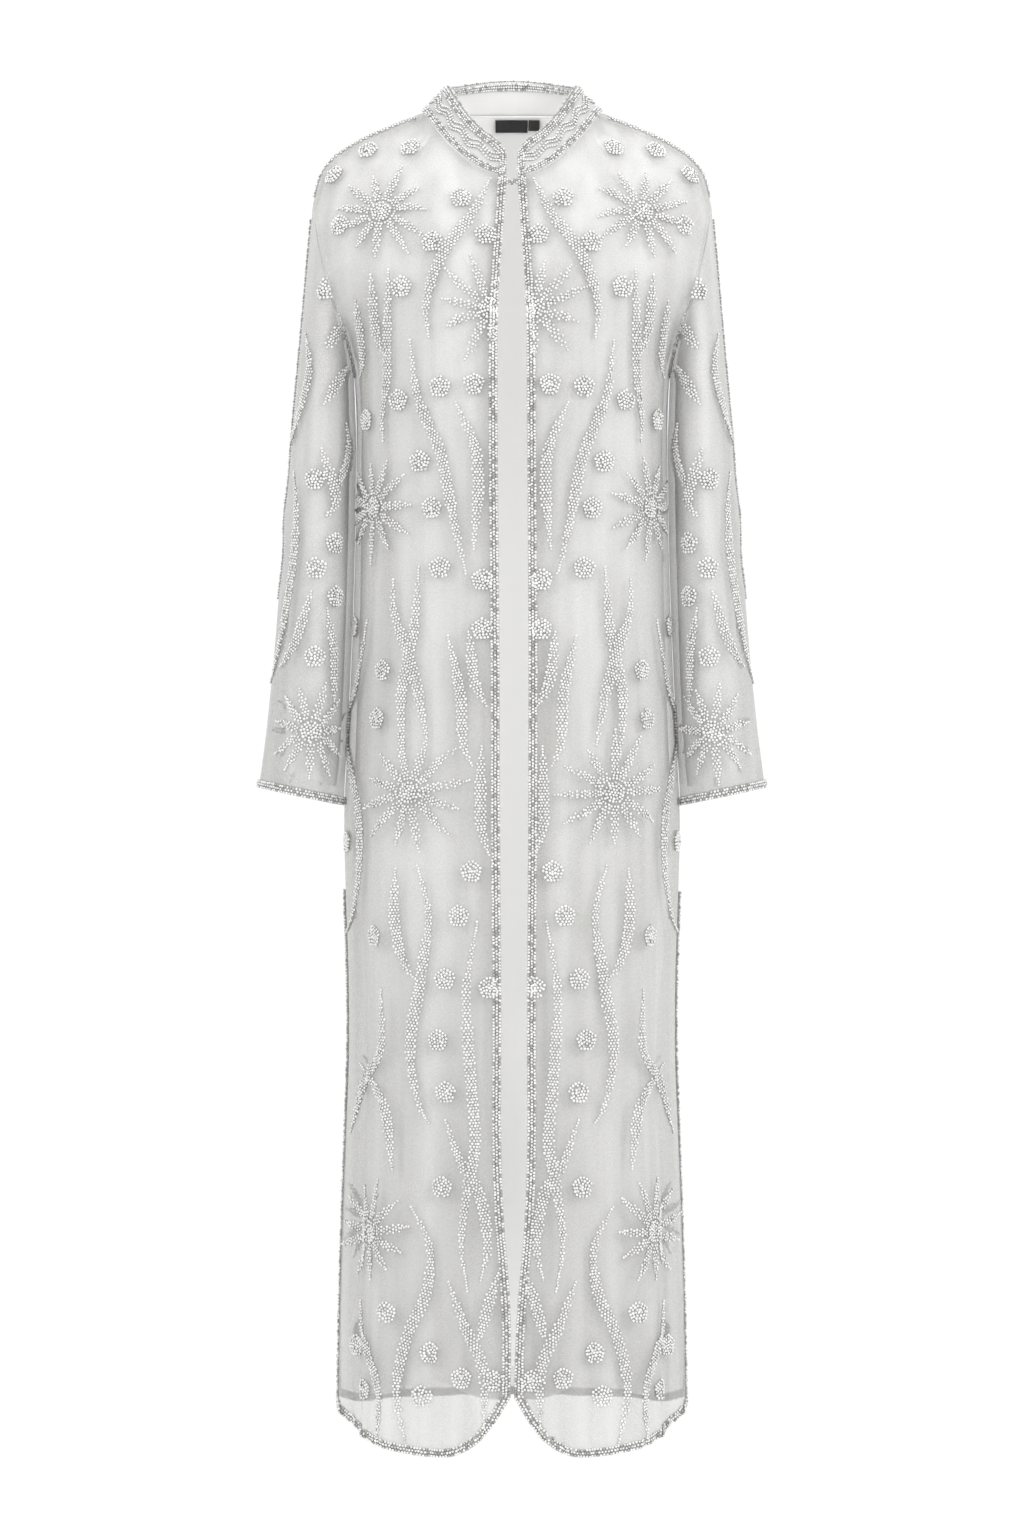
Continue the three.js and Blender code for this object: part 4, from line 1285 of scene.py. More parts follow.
class Nodes:
    """Builds a material's node tree in a few words."""

    def __init__(self, name: str) -> None:
        """Starts a material with a Principled shader."""
        self.material = bpy.data.materials.new(name)
        self.material.use_nodes = True
        self.tree = self.material.node_tree
        self.shader = self.tree.nodes["Principled BSDF"]

    def add(self, kind: str, **values: object) -> bpy.types.Node:
        """Adds a node and sets its own settings and its sockets by name."""
        node = self.tree.nodes.new(kind)
        for name, value in values.items():
            if hasattr(node, name):
                setattr(node, name, value)
            else:
                node.inputs[name.replace("_", " ")].default_value = value
        return node

    def link(self, out: bpy.types.NodeSocket, into: bpy.types.NodeSocket) -> None:
        """Links two sockets."""
        self.tree.links.new(out, into)

    def set(self, **values: object) -> None:
        """Sets the shader's own sockets, with an underscore for each space."""
        for name, value in values.items():
            self.shader.inputs[name.replace("_", " ")].default_value = value

    def ramp(self, source: bpy.types.NodeSocket, stops: Sequence[tuple[float, tuple]]) -> bpy.types.Node:
        """Adds a colour ramp with the given stops."""
        node = self.add("ShaderNodeValToRGB")
        self.link(source, node.inputs["Fac"])
        elements = node.color_ramp.elements
        while len(elements) < len(stops):
            elements.new(0.5)
        for element, (place, colour) in zip(elements, stops):
            element.position = place
            element.color = (*colour, 1.0)
        return node

    def place(self) -> bpy.types.NodeSocket:
        """The object's own coordinates, in metres."""
        return self.add("ShaderNodeTexCoord").outputs["Object"]

    def bump(self, height: bpy.types.NodeSocket, strength: float, distance: float) -> None:
        """Bumps the shader's normal."""
        node = self.add("ShaderNodeBump", Strength=strength, Distance=distance)
        self.link(height, node.inputs["Height"])
        self.link(node.outputs["Normal"], self.shader.inputs["Normal"])

    def scale(
        self,
        vector: bpy.types.NodeSocket,
        factors: tuple[float, float, float],
    ) -> bpy.types.NodeSocket:
        """Scales coordinates."""
        node = self.add("ShaderNodeMapping")
        node.inputs["Scale"].default_value = factors
        self.link(vector, node.inputs["Vector"])
        return node.outputs["Vector"]


@dataclass(frozen=True)
class SheerMesh:
    """Fine net: mostly open, softly lit threads with a slight greenish grey."""

    name: str = "sheer_mesh"
    light: tuple[float, float, float] = (0.60, 0.60, 0.595)
    dark: tuple[float, float, float] = (0.44, 0.435, 0.42)
    cover: float = 0.44

    def build(self) -> bpy.types.Material:
        """Returns the material."""
        nodes = Nodes(self.name)
        place = nodes.place()
        streaks = nodes.add("ShaderNodeTexNoise", Scale=42.0, Detail=4.0)
        nodes.link(nodes.scale(place, (1.0, 1.0, 0.05)), streaks.inputs["Vector"])
        tone = nodes.ramp(streaks.outputs["Fac"], ((0.32, self.dark), (0.62, self.light)))
        nodes.link(tone.outputs["Color"], nodes.shader.inputs["Base Color"])
        threads = nodes.add("ShaderNodeTexVoronoi", Scale=900.0)
        nodes.link(place, threads.inputs["Vector"])
        cover = nodes.add("ShaderNodeMapRange")
        cover.inputs["From Min"].default_value = 0.0
        cover.inputs["From Max"].default_value = 0.8
        cover.inputs["To Min"].default_value = self.cover - 0.16
        cover.inputs["To Max"].default_value = self.cover + 0.2
        nodes.link(threads.outputs["Distance"], cover.inputs["Value"])
        nodes.link(cover.outputs["Result"], nodes.shader.inputs["Alpha"])
        nodes.bump(threads.outputs["Distance"], 0.25, 0.0004)
        nodes.set(Roughness=0.7, Sheen_Weight=0.25, Sheen_Roughness=0.4, Specular_IOR_Level=0.25)
        return nodes.material


@dataclass(frozen=True)
class LiningCloth:
    """Opaque off-white lining: a fine plain weave with a soft satin gloss."""

    name: str = "lining_cloth"
    light: tuple[float, float, float] = (0.95, 0.95, 0.95)
    dark: tuple[float, float, float] = (0.88, 0.875, 0.86)

    def build(self) -> bpy.types.Material:
        """Returns the material."""
        nodes = Nodes(self.name)
        place = nodes.place()
        cloudy = nodes.add("ShaderNodeTexNoise", Scale=5.0, Detail=2.0)
        nodes.link(nodes.scale(place, (1.0, 1.0, 0.2)), cloudy.inputs["Vector"])
        tone = nodes.ramp(cloudy.outputs["Fac"], ((0.3, self.dark), (0.7, self.light)))
        nodes.link(tone.outputs["Color"], nodes.shader.inputs["Base Color"])
        weave = nodes.add("ShaderNodeTexWave", Scale=500.0, Distortion=0.6)
        nodes.link(place, weave.inputs["Vector"])
        nodes.bump(weave.outputs["Fac"], 0.15, 0.0002)
        nodes.set(Roughness=0.5, Sheen_Weight=0.15, Specular_IOR_Level=0.35)
        return nodes.material


@dataclass(frozen=True)
class PearlBead:
    """Pearl and silver-white glass beads, each a little different from the next. A darker copy gives the
    painted shade on bead faces turned towards the cloth.
    """

    name: str = "pearl_beads"
    dark: tuple[float, float, float] = (0.76, 0.76, 0.75)
    middle: tuple[float, float, float] = (0.90, 0.90, 0.89)
    light: tuple[float, float, float] = (0.98, 0.98, 0.97)
    metallic: float = 0.15
    roughness: float = 0.22
    dark_until: float = 0.0
    middle_from: float = 0.35

    def build(self) -> bpy.types.Material:
        """Returns the material."""
        nodes = Nodes(self.name)
        island = nodes.add("ShaderNodeNewGeometry").outputs["Random Per Island"]
        stops = ((self.dark_until, self.dark), (self.middle_from, self.middle), (1.0, self.light))
        tone = nodes.ramp(island, stops)
        nodes.link(tone.outputs["Color"], nodes.shader.inputs["Base Color"])
        rough = nodes.add("ShaderNodeMapRange")
        rough.inputs["To Min"].default_value = self.roughness - 0.1
        rough.inputs["To Max"].default_value = self.roughness + 0.18
        nodes.link(island, rough.inputs["Value"])
        nodes.link(rough.outputs["Result"], nodes.shader.inputs["Roughness"])
        nodes.set(Metallic=self.metallic, Coat_Weight=0.4, Coat_Roughness=0.12, Specular_IOR_Level=0.6)
        return nodes.material


@dataclass(frozen=True)
class TapeCloth:
    """The silvery tape under a beaded edge. Its dark grey is partly the tape's own tone and partly painted
    shade for the gaps between the beads.
    """

    name: str = "edge_tape"
    light: tuple[float, float, float] = (0.58, 0.57, 0.55)
    dark: tuple[float, float, float] = (0.44, 0.43, 0.41)

    def build(self) -> bpy.types.Material:
        """Returns the material."""
        nodes = Nodes(self.name)
        speckle = nodes.add("ShaderNodeTexNoise", Scale=420.0, Detail=2.0)
        nodes.link(nodes.place(), speckle.inputs["Vector"])
        tone = nodes.ramp(speckle.outputs["Fac"], ((0.35, self.dark), (0.65, self.light)))
        nodes.link(tone.outputs["Color"], nodes.shader.inputs["Base Color"])
        nodes.bump(speckle.outputs["Fac"], 0.4, 0.0004)
        nodes.set(Roughness=0.55)
        return nodes.material


@dataclass(frozen=True)
class LabelCloth:
    """Plain black woven label with a faint satin rib."""

    name: str = "label_cloth"
    light: tuple[float, float, float] = (0.030, 0.030, 0.032)
    dark: tuple[float, float, float] = (0.008, 0.008, 0.009)

    def build(self) -> bpy.types.Material:
        """Returns the material."""
        nodes = Nodes(self.name)
        rib = nodes.add("ShaderNodeTexWave", Scale=900.0, bands_direction="Z")
        nodes.link(nodes.place(), rib.inputs["Vector"])
        tone = nodes.ramp(rib.outputs["Fac"], ((0.2, self.dark), (0.8, self.light)))
        nodes.link(tone.outputs["Color"], nodes.shader.inputs["Base Color"])
        nodes.bump(rib.outputs["Fac"], 0.3, 0.0002)
        nodes.set(Roughness=0.6, Specular_IOR_Level=0.4)
        return nodes.material


@dataclass(frozen=True)
class StudioWhite:
    """The pale floor and backdrop, which is clear from behind."""

    name: str = "studio_white"
    tone: tuple[float, float, float] = (0.93, 0.93, 0.93)

    def build(self) -> bpy.types.Material:
        """Returns the material."""
        nodes = Nodes(self.name)
        nodes.set(Base_Color=(*self.tone, 1.0), Roughness=0.9, Specular_IOR_Level=0.1)
        behind = nodes.add("ShaderNodeNewGeometry").outputs["Backfacing"]
        front = nodes.add("ShaderNodeMath", operation="SUBTRACT")
        front.inputs[0].default_value = 1.0
        nodes.link(behind, front.inputs[1])
        nodes.link(front.outputs["Value"], nodes.shader.inputs["Alpha"])
        return nodes.material


@dataclass
class Finishes:
    """Every finish of the kaftan, built once."""

    mesh: bpy.types.Material
    lining: bpy.types.Material
    beads: bpy.types.Material
    trim_beads: bpy.types.Material
    shade: bpy.types.Material
    tape: bpy.types.Material
    collar: bpy.types.Material
    label: bpy.types.Material

    @classmethod
    def make(cls) -> "Finishes":
        """Builds the materials."""
        # The trim beads differ in tone at random, and nearly a fifth of them are dark grey: painted shade for
        # the gaps between the beads
        silver = PearlBead(
            "trim_beads",
            dark=(0.44, 0.44, 0.43),
            middle=(0.84, 0.84, 0.83),
            light=(0.97, 0.97, 0.96),
            metallic=0.2,
            dark_until=0.18,
            middle_from=0.28,
        )
        # Painted shade for the bead faces turned towards the cloth, not a colour of the beads
        shade = PearlBead(
            "bead_shade",
            dark=(0.34, 0.34, 0.33),
            middle=(0.46, 0.46, 0.45),
            light=(0.58, 0.58, 0.57),
            metallic=0.3,
        )
        collar = LiningCloth("collar_net", (0.66, 0.66, 0.655), (0.60, 0.60, 0.59))
        return cls(
            SheerMesh().build(),
            LiningCloth().build(),
            PearlBead().build(),
            silver.build(),
            shade.build(),
            TapeCloth().build(),
            collar.build(),
            LabelCloth().build(),
        )

    @property
    def motif(self) -> list[bpy.types.Material]:
        """The finishes of a mesh of motif beads: the beads, then their painted shade."""
        return [self.beads, self.shade]

    @property
    def trim(self) -> list[bpy.types.Material]:
        """The finishes of a beaded trim: the beads, their painted shade, then the tape."""
        return [self.trim_beads, self.shade, self.tape]


FRONT_FOLDS = (
    Fold(0.2, 0.055, 3.2, -420, -980, 0.01),
    Fold(0.38, 0.045, -3.4, -520, -1040, -0.01),
    Fold(0.55, 0.06, 4.2, -360, -900, 0.015),
    Fold(0.72, 0.045, -3.6, -600, -1080, 0.0),
    Fold(0.86, 0.04, 2.8, -700, -1120, 0.01),
)
BACK_FOLDS = (
    Fold(0.1, 0.06, 4.4, -300, -860, 0.01),
    Fold(0.3, 0.05, -3.6, -380, -940, -0.01),
    Fold(0.48, 0.055, 3.8, -460, -1000, 0.015),
    Fold(0.66, 0.045, -3.2, -560, -1060, 0.0),
    Fold(0.84, 0.045, 3.0, -640, -1100, 0.01),
)
FINE_CREASES = (
    Fold(0.2, 0.018, 1.1, -90, -190, 0.01),
    Fold(0.37, 0.016, -1.1, -90, -200, 0.01),
    Fold(0.57, 0.018, 1.2, -100, -220, 0.0),
    Fold(0.72, 0.016, -1.1, -110, -230, -0.01),
    Fold(0.12, 0.016, 0.9, -150, -420, 0.02),
    Fold(0.27, 0.013, -0.8, -330, -700, -0.02),
    Fold(0.33, 0.014, 0.9, -700, -1000, 0.01),
    Fold(0.46, 0.015, -1.0, -420, -760, 0.03),
    Fold(0.5, 0.012, 0.8, -980, -1150, -0.01),
    Fold(0.62, 0.014, -0.9, -240, -620, 0.02),
    Fold(0.68, 0.013, 0.9, -840, -1120, 0.0),
    Fold(0.79, 0.015, -1.0, -380, -820, -0.02),
    Fold(0.91, 0.012, 0.8, -900, -1180, 0.0),
)
HEM_CREASES = (
    Fold(0.16, 0.012, 3.4, -1230, -1330, 0.05),
    Fold(0.24, 0.011, -3.2, -1240, -1335, 0.04),
    Fold(0.35, 0.014, 3.0, -1250, -1340, 0.02),
    Fold(0.6, 0.012, -3.2, -1240, -1335, -0.02),
    Fold(0.7, 0.011, 3.4, -1235, -1335, -0.03),
    Fold(0.8, 0.012, -3.2, -1230, -1325, -0.04),
    Fold(0.88, 0.011, 3.0, -1225, -1320, -0.05),
)


def fold_lift(folds: Iterable[Fold], share: np.ndarray, z: np.ndarray) -> np.ndarray:
    """How far folds lift a sheet at shares across it and heights, in millimetres."""
    lift = np.zeros_like(share)
    for fold in folds:
        grown = smooth_step(z, fold.top, fold.full)
        centre = fold.share + fold.drift * grown
        lift += fold.height * grown * np.exp(-(((share - centre) / fold.width) ** 2))
    return lift


@dataclass
class Dress:
    """What every sub-assembly needs: the finishes and the source of small differences."""

    finishes: Finishes
    rng: np.random.Generator

    def settle(self, piece: bpy.types.Object, slot: str, nodes: Sequence[str] = ()) -> None:
        """Puts a piece in the part: it rides on the body and stands for its nodes."""
        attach(piece, "root")
        if nodes:
            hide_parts(*nodes)
        LOG.info("%s: %d faces", piece.name, len(piece.data.polygons))

    def sheet(self, name: str, cloth: Cloth, finish: bpy.types.Material) -> bpy.types.Object:
        """Makes a thin sheet object from a cloth."""
        maker = MeshMaker()
        maker.add(cloth.points, cloth.quads())
        piece = maker.build(name, [finish])
        piece.visible_shadow = finish is not self.finishes.mesh
        return piece


@dataclass
class Body(Dress):
    """The body: two fronts and a back in mesh, their linings, edges and embroidery."""

    pattern: BodyPattern = field(default_factory=BodyPattern)
    across: float = 4.2
    down: float = 11.0
    lining_across: float = 8.0
    lining_down: float = 16.0
    shoulder_row_place: float = 0.35
    lining_ripple: float = 1.5
    lining_hem_drop: float = 9.0
    cloths: dict[str, Cloth] = field(default_factory=dict)

    def cut(self, layer: Layer, face: Face, across: float, down: float) -> Cloth:
        """Cuts a panel and lays its folds in."""
        cloth = Cloth(self.pattern.net(layer, face), across, down, np.zeros(3))
        share = cloth.shares if face is Face.FRONT else np.abs(cloth.shares * 2 - 1)
        z = cloth.points[..., 2]
        folds = FRONT_FOLDS if face is Face.FRONT else BACK_FOLDS
        lift = layer.fold_share * fold_lift(folds, share, z) - layer.hang_inset(z)
        if layer is MESH_LAYER:
            lift += fold_lift(FINE_CREASES + HEM_CREASES, share, z)
        else:
            lift += self.lining_ripple * np.sin(share * 23 + 1.0) * smooth_step(z, -1080, LINING_HEM_Z)
            wave = np.sin(share * 9.0 + 0.6) * smooth_step(z, -1150, LINING_HEM_Z)
            cloth.points[..., 2] -= self.lining_hem_drop * wave
        return cloth.push(lift)

    def sway(self, cloth: Cloth) -> None:
        """Lets a front's edge hang a little towards the wearer's left, as worn."""
        z = cloth.points[..., 2]
        near = np.clip(1 - np.abs(cloth.points[..., 0]) / SWAY_WIDTH, 0, 1)
        grown = smooth_step(z, *SWAY_GROWS) - smooth_step(z, *SWAY_FADES)
        cloth.points[..., 0] += EDGE_SWAY * near * grown
        cloth.measure()

    def build(self) -> None:
        """Builds the panels and linings."""
        front = self.cut(MESH_LAYER, Face.FRONT, self.across, self.down)
        back = self.cut(MESH_LAYER, Face.BACK, self.across, self.down)
        front_lining = self.cut(LINING_LAYER, Face.FRONT, self.lining_across, self.lining_down)
        back_lining = self.cut(LINING_LAYER, Face.BACK, self.lining_across, self.lining_down)
        fronts = {Side.LEFT: (front, front_lining), Side.RIGHT: (front.mirrored(), front_lining.mirrored())}
        for side, (cloth, inner) in fronts.items():
            self.sway(cloth)
            self.sway(inner)
            self.cloths[f"front_{side.word}"] = cloth
            piece = self.sheet(f"mesh_front_{side.word}", cloth, self.finishes.mesh)
            self.settle(piece, "mesh", [f"shell_front_{side.word}"])
            piece = self.sheet(f"lining_cloth_front_{side.word}", inner, self.finishes.lining)
            self.settle(piece, "lining", [f"lining_front_{side.word}"])
        self.cloths["back"] = back
        piece = self.sheet("mesh_back", back, self.finishes.mesh)
        self.settle(piece, "mesh", ["shell_back"])
        piece = self.sheet("lining_cloth_back", back_lining, self.finishes.lining)
        self.settle(piece, "lining", ["lining_back"])

    def edge_places(self, cloth: Cloth, face: Face) -> tuple[np.ndarray, np.ndarray]:
        """The edge that carries a trim: front edge, hem and slit, or slit, hem and slit."""
        columns, rows = cloth.points.shape[:2]
        side_z = cloth.points[columns - 1, :, 2]
        slit = int(np.argmin(np.abs(side_z - SLIT_TOP_Z)))
        up = np.arange(rows - 1, slit - 1, -1.0)
        first = np.arange(0.0, rows) if face is Face.FRONT else up[::-1]
        hem = np.arange(1.0, columns - 1)
        a = np.concatenate((np.zeros(len(first)), hem, np.full(len(up), columns - 1.0)))
        b = np.concatenate((first, np.full(len(hem), rows - 1.0), up))
        return a, b

    def trim(self) -> None:
        """Sews the beaded bands on the edges."""
        band = EdgeTrim()
        for name, cloth in self.cloths.items():
            maker = MeshMaker()
            face = Face.BACK if name == "back" else Face.FRONT
            a, b = self.edge_places(cloth, face)
            count = band.sew(cloth, a, b, maker, self.rng)
            piece = maker.build(f"beaded_edge_{name}", self.finishes.trim)
            self.settle(piece, "beads", [f"trim_{name}"])
            LOG.info("edge %s: %d beads", name, count)

    def shoulder_row(self, sewer: Embroiderer) -> None:
        """Sews the narrow row of beads along the shoulder seam."""
        top = sewer.cloth.points[:, 0]
        a = np.flatnonzero(np.abs(top[:, 0]) > COLLAR_FOOT.half + 4).astype(float)[:-1]
        sewer.band(a, np.full(len(a), self.shoulder_row_place), SHOULDER_ROW_WIDTH, 0.0)

    def embroider(self) -> None:
        """Sews the bead motifs on the fronts and the back."""
        for side in Side:
            for face in Face:
                cloth = self.cloths["back"] if face is Face.BACK else self.cloths[f"front_{side.word}"]
                beads = Beads()
                sewer = Embroiderer(cloth, beads, side, face, self.rng)
                sewer.motifs(BODY_ROSETTES, BODY_STARS, BODY_SPRIGS)
                if face is Face.FRONT:
                    self.shoulder_row(sewer)
                maker = MeshMaker()
                beads.pour(maker, self.rng)
                piece = maker.build(f"bead_motifs_{face.value}_{side.word}", self.finishes.motif)
                self.settle(piece, "beads")


@dataclass
class Sleeves(Dress):
    """The two sleeves with their linings, cuffs and embroidery."""

    across: float = 5.0
    down: float = 11.0
    lining_start: tuple[float, float] = (0.6, 5.4)
    lining_scale: float = 0.94
    outer_row_share: float = 0.62
    lining_across: float = 8.0
    lining_down: float = 16.0
    elbow_z: float = -430.0
    axis: tuple[float, float, float] = (207.0, -6.0, 0.0)

    def creases(self, cloth: Cloth) -> np.ndarray:
        """Soft long folds and a few slanting ones at the elbow."""
        z = cloth.points[..., 2]
        turn = np.linspace(0, 2 * math.pi, cloth.points.shape[0], endpoint=False)[:, None]
        long_folds = 1.3 * np.cos(3 * turn + 0.8) + 0.8 * np.cos(5 * turn - z / 160)
        above_elbow = z - self.elbow_z
        elbow = 1.4 * np.sin(above_elbow / 16 + 2.2 * np.sin(turn)) * np.exp(-((above_elbow / 60) ** 2))
        outer_side = 0.5 + 0.5 * np.cos(turn)
        return (long_folds * smooth_step(z, -230, -420) + elbow) * smooth_step(outer_side, 0.0, 0.35)

    def build(self) -> None:
        """Builds both sleeves."""
        middle = np.array(self.axis)
        outer = Cloth(SleevePattern().net(), self.across, self.down, middle, wraps=True)
        outer.push(self.creases(outer))
        pattern = SleevePattern(
            SLEEVE_LINING_ROWS, self.lining_scale, *self.lining_start, SLEEVE_LINING_END_Z, 0.0
        )
        inner = Cloth(pattern.net(), self.lining_across, self.lining_down, middle, wraps=True)
        for side in Side:
            cloth = outer if side is Side.LEFT else outer.mirrored()
            lining = inner if side is Side.LEFT else inner.mirrored()
            piece = self.sheet(f"mesh_sleeve_{side.word}", cloth, self.finishes.mesh)
            self.settle(piece, "mesh", [f"sleeve_{side.word}"])
            piece = self.sheet(f"lining_cloth_sleeve_{side.word}", lining, self.finishes.lining)
            self.settle(piece, "lining", [f"lining_sleeve_{side.word}"])
            self.cuff(cloth, side)
            self.embroider(cloth, side)

    def cuff(self, cloth: Cloth, side: Side) -> None:
        """Sews the beaded band round a cuff."""
        columns, rows = cloth.points.shape[:2]
        a = np.arange(columns + 1.0)
        b = np.full(columns + 1, rows - 1.0)
        maker = MeshMaker()
        band = EdgeTrim(CUFF_TRIM_WIDTH, bead_radius=1.55, pitch=3.1)
        band.sew(cloth, a, b, maker, self.rng)
        piece = maker.build(f"beaded_cuff_{side.word}", self.finishes.trim)
        self.settle(piece, "beads", [f"cuff_trim_{side.word}"])

    def embroider(self, cloth: Cloth, side: Side) -> None:
        """Sews the bead motifs of a sleeve, front and back."""
        beads = Beads()
        for face in Face:
            sewer = Embroiderer(cloth, beads, side, face, self.rng)
            sewer.motifs(SLEEVE_ROSETTES, SLEEVE_STARS, SLEEVE_SPRIGS)
        down = np.arange(1.0, cloth.points.shape[1] * self.outer_row_share)
        sewer.band(np.zeros(len(down)), down, SHOULDER_ROW_WIDTH, 0.0)
        maker = MeshMaker()
        beads.pour(maker, self.rng)
        piece = maker.build(f"bead_motifs_sleeve_{side.word}", self.finishes.motif)
        self.settle(piece, "beads")


@dataclass
class Collar(Dress):
    """The stand collar with its beaded bands, the hook and the plain labels."""

    wall: float = 2.0
    foot_trim: float = 7.5
    edge_trim: float = 7.5
    row_margin: float = 2.0
    row_pitch: float = 0.72
    rim_pitch: float = 0.74
    row_place: float = 0.52
    row_wave: float = 0.07
    row_spacing: float = 0.11
    row_closest: float = 0.75
    row_beads: tuple[float, float] = (1.2, 1.5)
    rim_beads: tuple[float, float] = (1.35, 1.6)
    rim_rise: float = 0.9
    rim_drops: tuple[float, ...] = (1.0, 3.7, 6.4)
    band_lift: float = 0.3
    hook_radius: float = 2.3
    hook_sag: float = 1.4
    hook_closest: float = 0.4
    hook_bead: float = 1.35
    hook_beads: tuple[int, int] = (11, 6)
    hook_margin: float = 1.5

    def build(self) -> None:
        """Builds the collar as a double cloth, then its bands."""
        cloth = Cloth(collar_net(), 4.0, 4.0, np.zeros(3))
        columns, rows = cloth.points.shape[:2]
        outer = cloth.points + cloth.normals * self.wall / 2
        inner = cloth.points - cloth.normals * self.wall / 2
        maker = MeshMaker()
        quads = cloth.quads()
        size = columns * rows
        foot = np.arange(columns) * rows
        rim = (foot, foot[-1] + np.arange(1, rows), foot[-2::-1] + rows - 1, np.arange(rows - 2, 0, -1))
        rim = np.concatenate(rim)
        after = np.roll(rim, -1)
        faces = (quads, quads[:, ::-1] + size, np.column_stack((rim, after, after + size, rim + size)))
        slots = np.repeat((0, 1, 1), [len(part) for part in faces])
        maker.add(np.concatenate((outer.reshape(-1, 3), inner.reshape(-1, 3))), np.concatenate(faces), slots)
        piece = maker.build("collar_cloth", [self.finishes.collar, self.finishes.lining])
        self.settle(piece, "mesh", ["collar"])
        self.bands(cloth)

    def bands(self, cloth: Cloth) -> None:
        """Sews the foot band, the edge band and the row between them."""
        columns, rows = cloth.points.shape[:2]
        along = np.arange(float(columns))
        lifted = self.wall / 2 + self.band_lift
        foot, edge = MeshMaker(), MeshMaker()
        foot_band = EdgeTrim(self.foot_trim, bead_radius=1.35, pitch=2.7, tape_lift=lifted)
        foot_band.sew(cloth, along, np.zeros(columns), foot, self.rng)
        edge_band = EdgeTrim(self.edge_trim, bead_radius=1.35, pitch=2.7, tape_lift=lifted)
        up = np.arange(1.0, rows)
        a = np.concatenate((np.zeros(len(up)), along[1:-1], np.full(len(up), columns - 1.0)))
        b = np.concatenate((up, np.full(columns - 2, rows - 1.0), up[::-1]))
        edge_band.sew(cloth, a, b, edge, self.rng)
        self.rim_row(cloth, edge)
        finishes = self.finishes.trim
        self.settle(foot.build("beaded_collar_foot", finishes), "beads", ["collar_foot_trim"])
        self.settle(edge.build("beaded_collar_edge", finishes), "beads", ["collar_edge_trim"])
        self.settle(self.middle_row(cloth), "beads")

    def middle_row(self, cloth: Cloth) -> bpy.types.Object:
        """Sews the wavy row of beads between the two bands."""
        columns, rows = cloth.points.shape[:2]
        beads = Beads(self.row_closest)
        along = np.arange(self.row_margin, columns - 1 - self.row_margin, self.row_pitch)
        wave = self.row_place + self.row_wave * np.sin(along * 0.9)
        for k, across in enumerate((-self.row_spacing, 0.0, self.row_spacing)):
            a = along + (k % 2) * self.row_pitch / 2
            b = (wave + across) * (rows - 1)
            normals = cloth.at(cloth.normals, a, b)
            centres = cloth.at(cloth.points, a, b) + normals * self.wall / 2
            beads.add(centres, normals, self.rng.uniform(*self.row_beads, len(a)))
        maker = MeshMaker()
        beads.pour(maker, self.rng)
        return maker.build("bead_row_collar", self.finishes.motif)

    def rim_row(self, cloth: Cloth, maker: MeshMaker) -> None:
        """Sews beads over the rim, so the edge band shows round the back of the neck too."""
        columns, rows = cloth.points.shape[:2]
        beads = Beads(self.row_closest)
        a = np.arange(self.row_margin, columns - 1 - self.row_margin, self.rim_pitch)
        edge = np.full(len(a), rows - 1.0)
        normals = cloth.at(cloth.normals, a, edge)
        rim = cloth.at(cloth.points, a, edge)
        up = rim - cloth.at(cloth.points, a, edge - 1)
        up /= np.linalg.norm(up, axis=1, keepdims=True)
        inside = self.wall * 0.75
        for inward, drop in ((0.0, -self.rim_rise), *((inside, drop) for drop in self.rim_drops)):
            centres = rim - up * drop - normals * inward
            looks = -normals if inward else up
            beads.add(centres, looks, self.rng.uniform(*self.rim_beads, len(a)))
        beads.pour(maker, self.rng)

    def hook(self) -> None:
        """Builds the beaded hook and bar between the collar's ends: a roll of beads that sags a little."""
        low, high = (np.array(v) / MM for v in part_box("neck_hook"))
        centre = (low + high) / 2
        beads = Beads(self.hook_closest)
        rings, around = self.hook_beads
        for k, x in enumerate(np.linspace(low[0] + self.hook_margin, high[0] - self.hook_margin, rings)):
            sag = self.hook_sag * (1 - (x / high[0]) ** 2)
            for angle in np.linspace(0, 2 * math.pi, around, endpoint=False) + 0.5 * (k % 2):
                normal = np.array((0.0, math.cos(angle), math.sin(angle)))
                place = np.array((x, centre[1], centre[2] - sag)) + normal * self.hook_radius / 2
                beads.add([place], [normal], [self.hook_bead])
        maker = MeshMaker()
        beads.pour(maker, self.rng)
        self.settle(maker.build("beaded_hook", self.finishes.trim[:2]), "beads", ["neck_hook"])

    def labels(self, frame: dict) -> None:
        """Gives the plain labels their cloth."""
        for name in ("neck_label", "size_tab"):
            node = frame["nodes"][name]
            node.data.materials.clear()
            node.data.materials.append(self.finishes.label)


@dataclass(frozen=True)
class Lamp:
    """A soft rectangular light: where it hangs, what it faces, its size in metres and its watts."""

    name: str
    place: tuple[float, float, float]
    aim: tuple[float, float, float]
    width: float
    height: float
    power: float

    def hang(self) -> None:
        """Adds the light to the scene."""
        data = bpy.data.lights.new(self.name, "AREA")
        data.shape = "RECTANGLE"
        data.energy = self.power
        data.size, data.size_y = self.width, self.height
        lamp = bpy.data.objects.new(self.name, data)
        lamp.location = self.place
        aim = Vector(self.aim) - Vector(self.place)
        lamp.rotation_euler = aim.to_track_quat("-Z", "Z").to_euler()
        lamp.visible_camera = False
        bpy.context.scene.collection.objects.link(lamp)


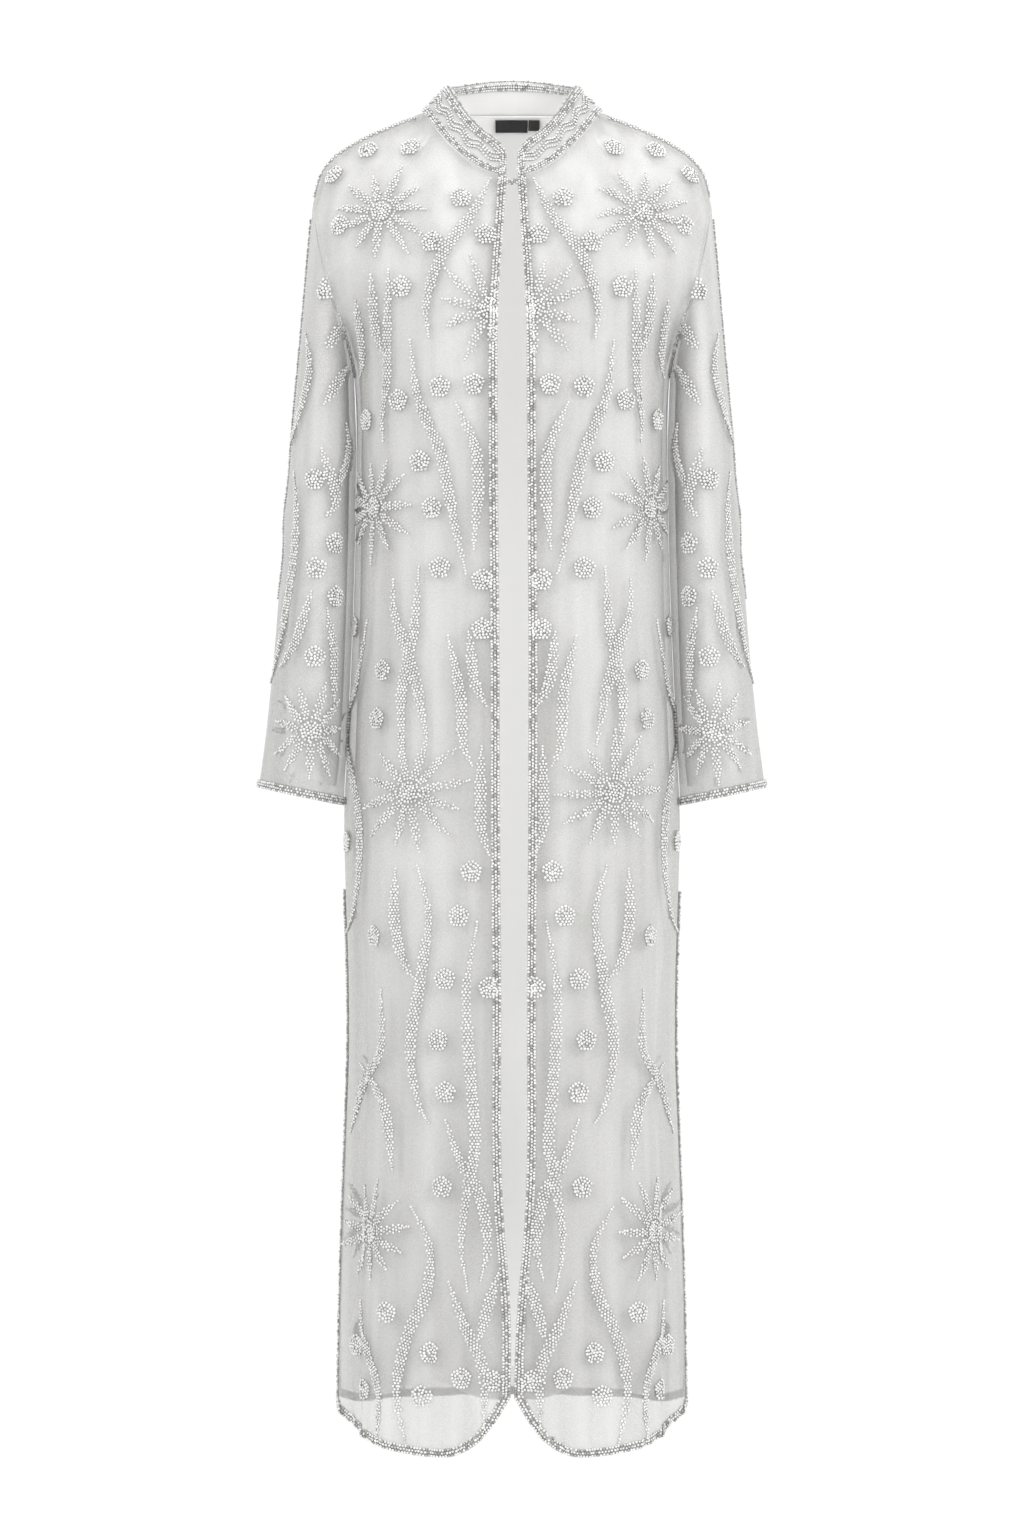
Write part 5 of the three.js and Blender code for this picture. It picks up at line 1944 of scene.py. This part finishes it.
@dataclass(frozen=True)
class Studio:
    """The plain pale floor, the soft lights and the camera at the photograph's angle."""

    floor_gap: float = 0.35
    floor_front: float = -7.0
    floor_half: float = 6.0
    sweep_start: float = 1.4
    sweep_radius: float = 1.2
    backdrop_top: float = 4.0
    sky_strength: float = 0.70
    lens_sensor: float = 36.0

    def build(self) -> None:
        """Builds the stage, the lights and the camera."""
        self.stage()
        self.lights()
        self.camera()

    def stage(self) -> None:
        """Builds a floor that sweeps up into a backdrop."""
        floor_z = HEM_LOW_Z * MM - self.floor_gap
        start, radius = self.sweep_start, self.sweep_radius
        profile = [(self.floor_front, floor_z)]
        for angle in np.linspace(0, math.pi / 2, 13):
            profile.append((start + radius * math.sin(angle), floor_z + radius * (1 - math.cos(angle))))
        profile.append((start + radius, self.backdrop_top))
        sides = (-self.floor_half, self.floor_half)
        points = np.array([(x, y, z) for y, z in profile for x in sides]) / MM
        count = len(profile) - 1
        n = 2 * np.arange(count)
        maker = MeshMaker()
        maker.add(points, np.column_stack((n, n + 1, n + 3, n + 2)))
        maker.build("studio_floor", [StudioWhite().build()])

    def lights(self) -> None:
        """Hangs soft lights at both sides, above, before the backdrop and inside, under a pale sky."""
        world = bpy.data.worlds.new("studio_air")
        bpy.context.scene.world = world
        world.use_nodes = True
        sky = world.node_tree.nodes["Background"]
        sky.inputs["Color"].default_value = (1, 1, 1, 1)
        sky.inputs["Strength"].default_value = self.sky_strength
        middle = (0.0, 0.0, -0.6)
        for lamp in (
            Lamp("left_softbox", (2.6, -2.6, 0.9), middle, 1.8, 1.8, 49.0),
            Lamp("right_softbox", (-2.6, -2.6, 0.9), middle, 1.8, 1.8, 35.0),
            Lamp("top_softbox", (0.0, -0.6, 2.6), middle, 2.2, 2.2, 23.0),
            Lamp("backdrop_light", (0.0, 1.0, 2.6), (0.0, 2.6, -0.6), 2.5, 2.5, 16.0),
            Lamp("inner_glow", (0.0, -0.03, -0.50), (0.0, 1.0, -0.50), 0.2, 0.95, 0.34),
        ):
            lamp.hang()

    def camera(self) -> None:
        """Places the camera level with the kaftan's middle."""
        data = bpy.data.cameras.new("view")
        data.sensor_width = self.lens_sensor
        data.lens = self.lens_sensor * EYE_DISTANCE / VIEW_HEIGHT
        data.clip_end = 50.0
        camera = bpy.data.objects.new("view", data)
        camera.location = (0.0, -EYE_DISTANCE * MM, EYE_Z * MM)
        camera.rotation_euler = (math.pi / 2, 0.0, 0.0)
        bpy.context.scene.collection.objects.link(camera)
        bpy.context.scene.camera = camera
        bpy.context.scene.view_settings.view_transform = "Standard"


def main() -> None:
    """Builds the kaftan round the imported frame, then the studio."""
    logging.basicConfig(level=logging.INFO, format="%(name)s: %(message)s")
    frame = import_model()
    rng = np.random.default_rng(SEED)
    finishes = Finishes.make()
    Studio().build()
    body = Body(finishes, rng)
    body.build()
    body.trim()
    body.embroider()
    Sleeves(finishes, rng).build()
    collar = Collar(finishes, rng)
    collar.build()
    collar.hook()
    collar.labels(frame)


if __name__ == "__main__":
    main()
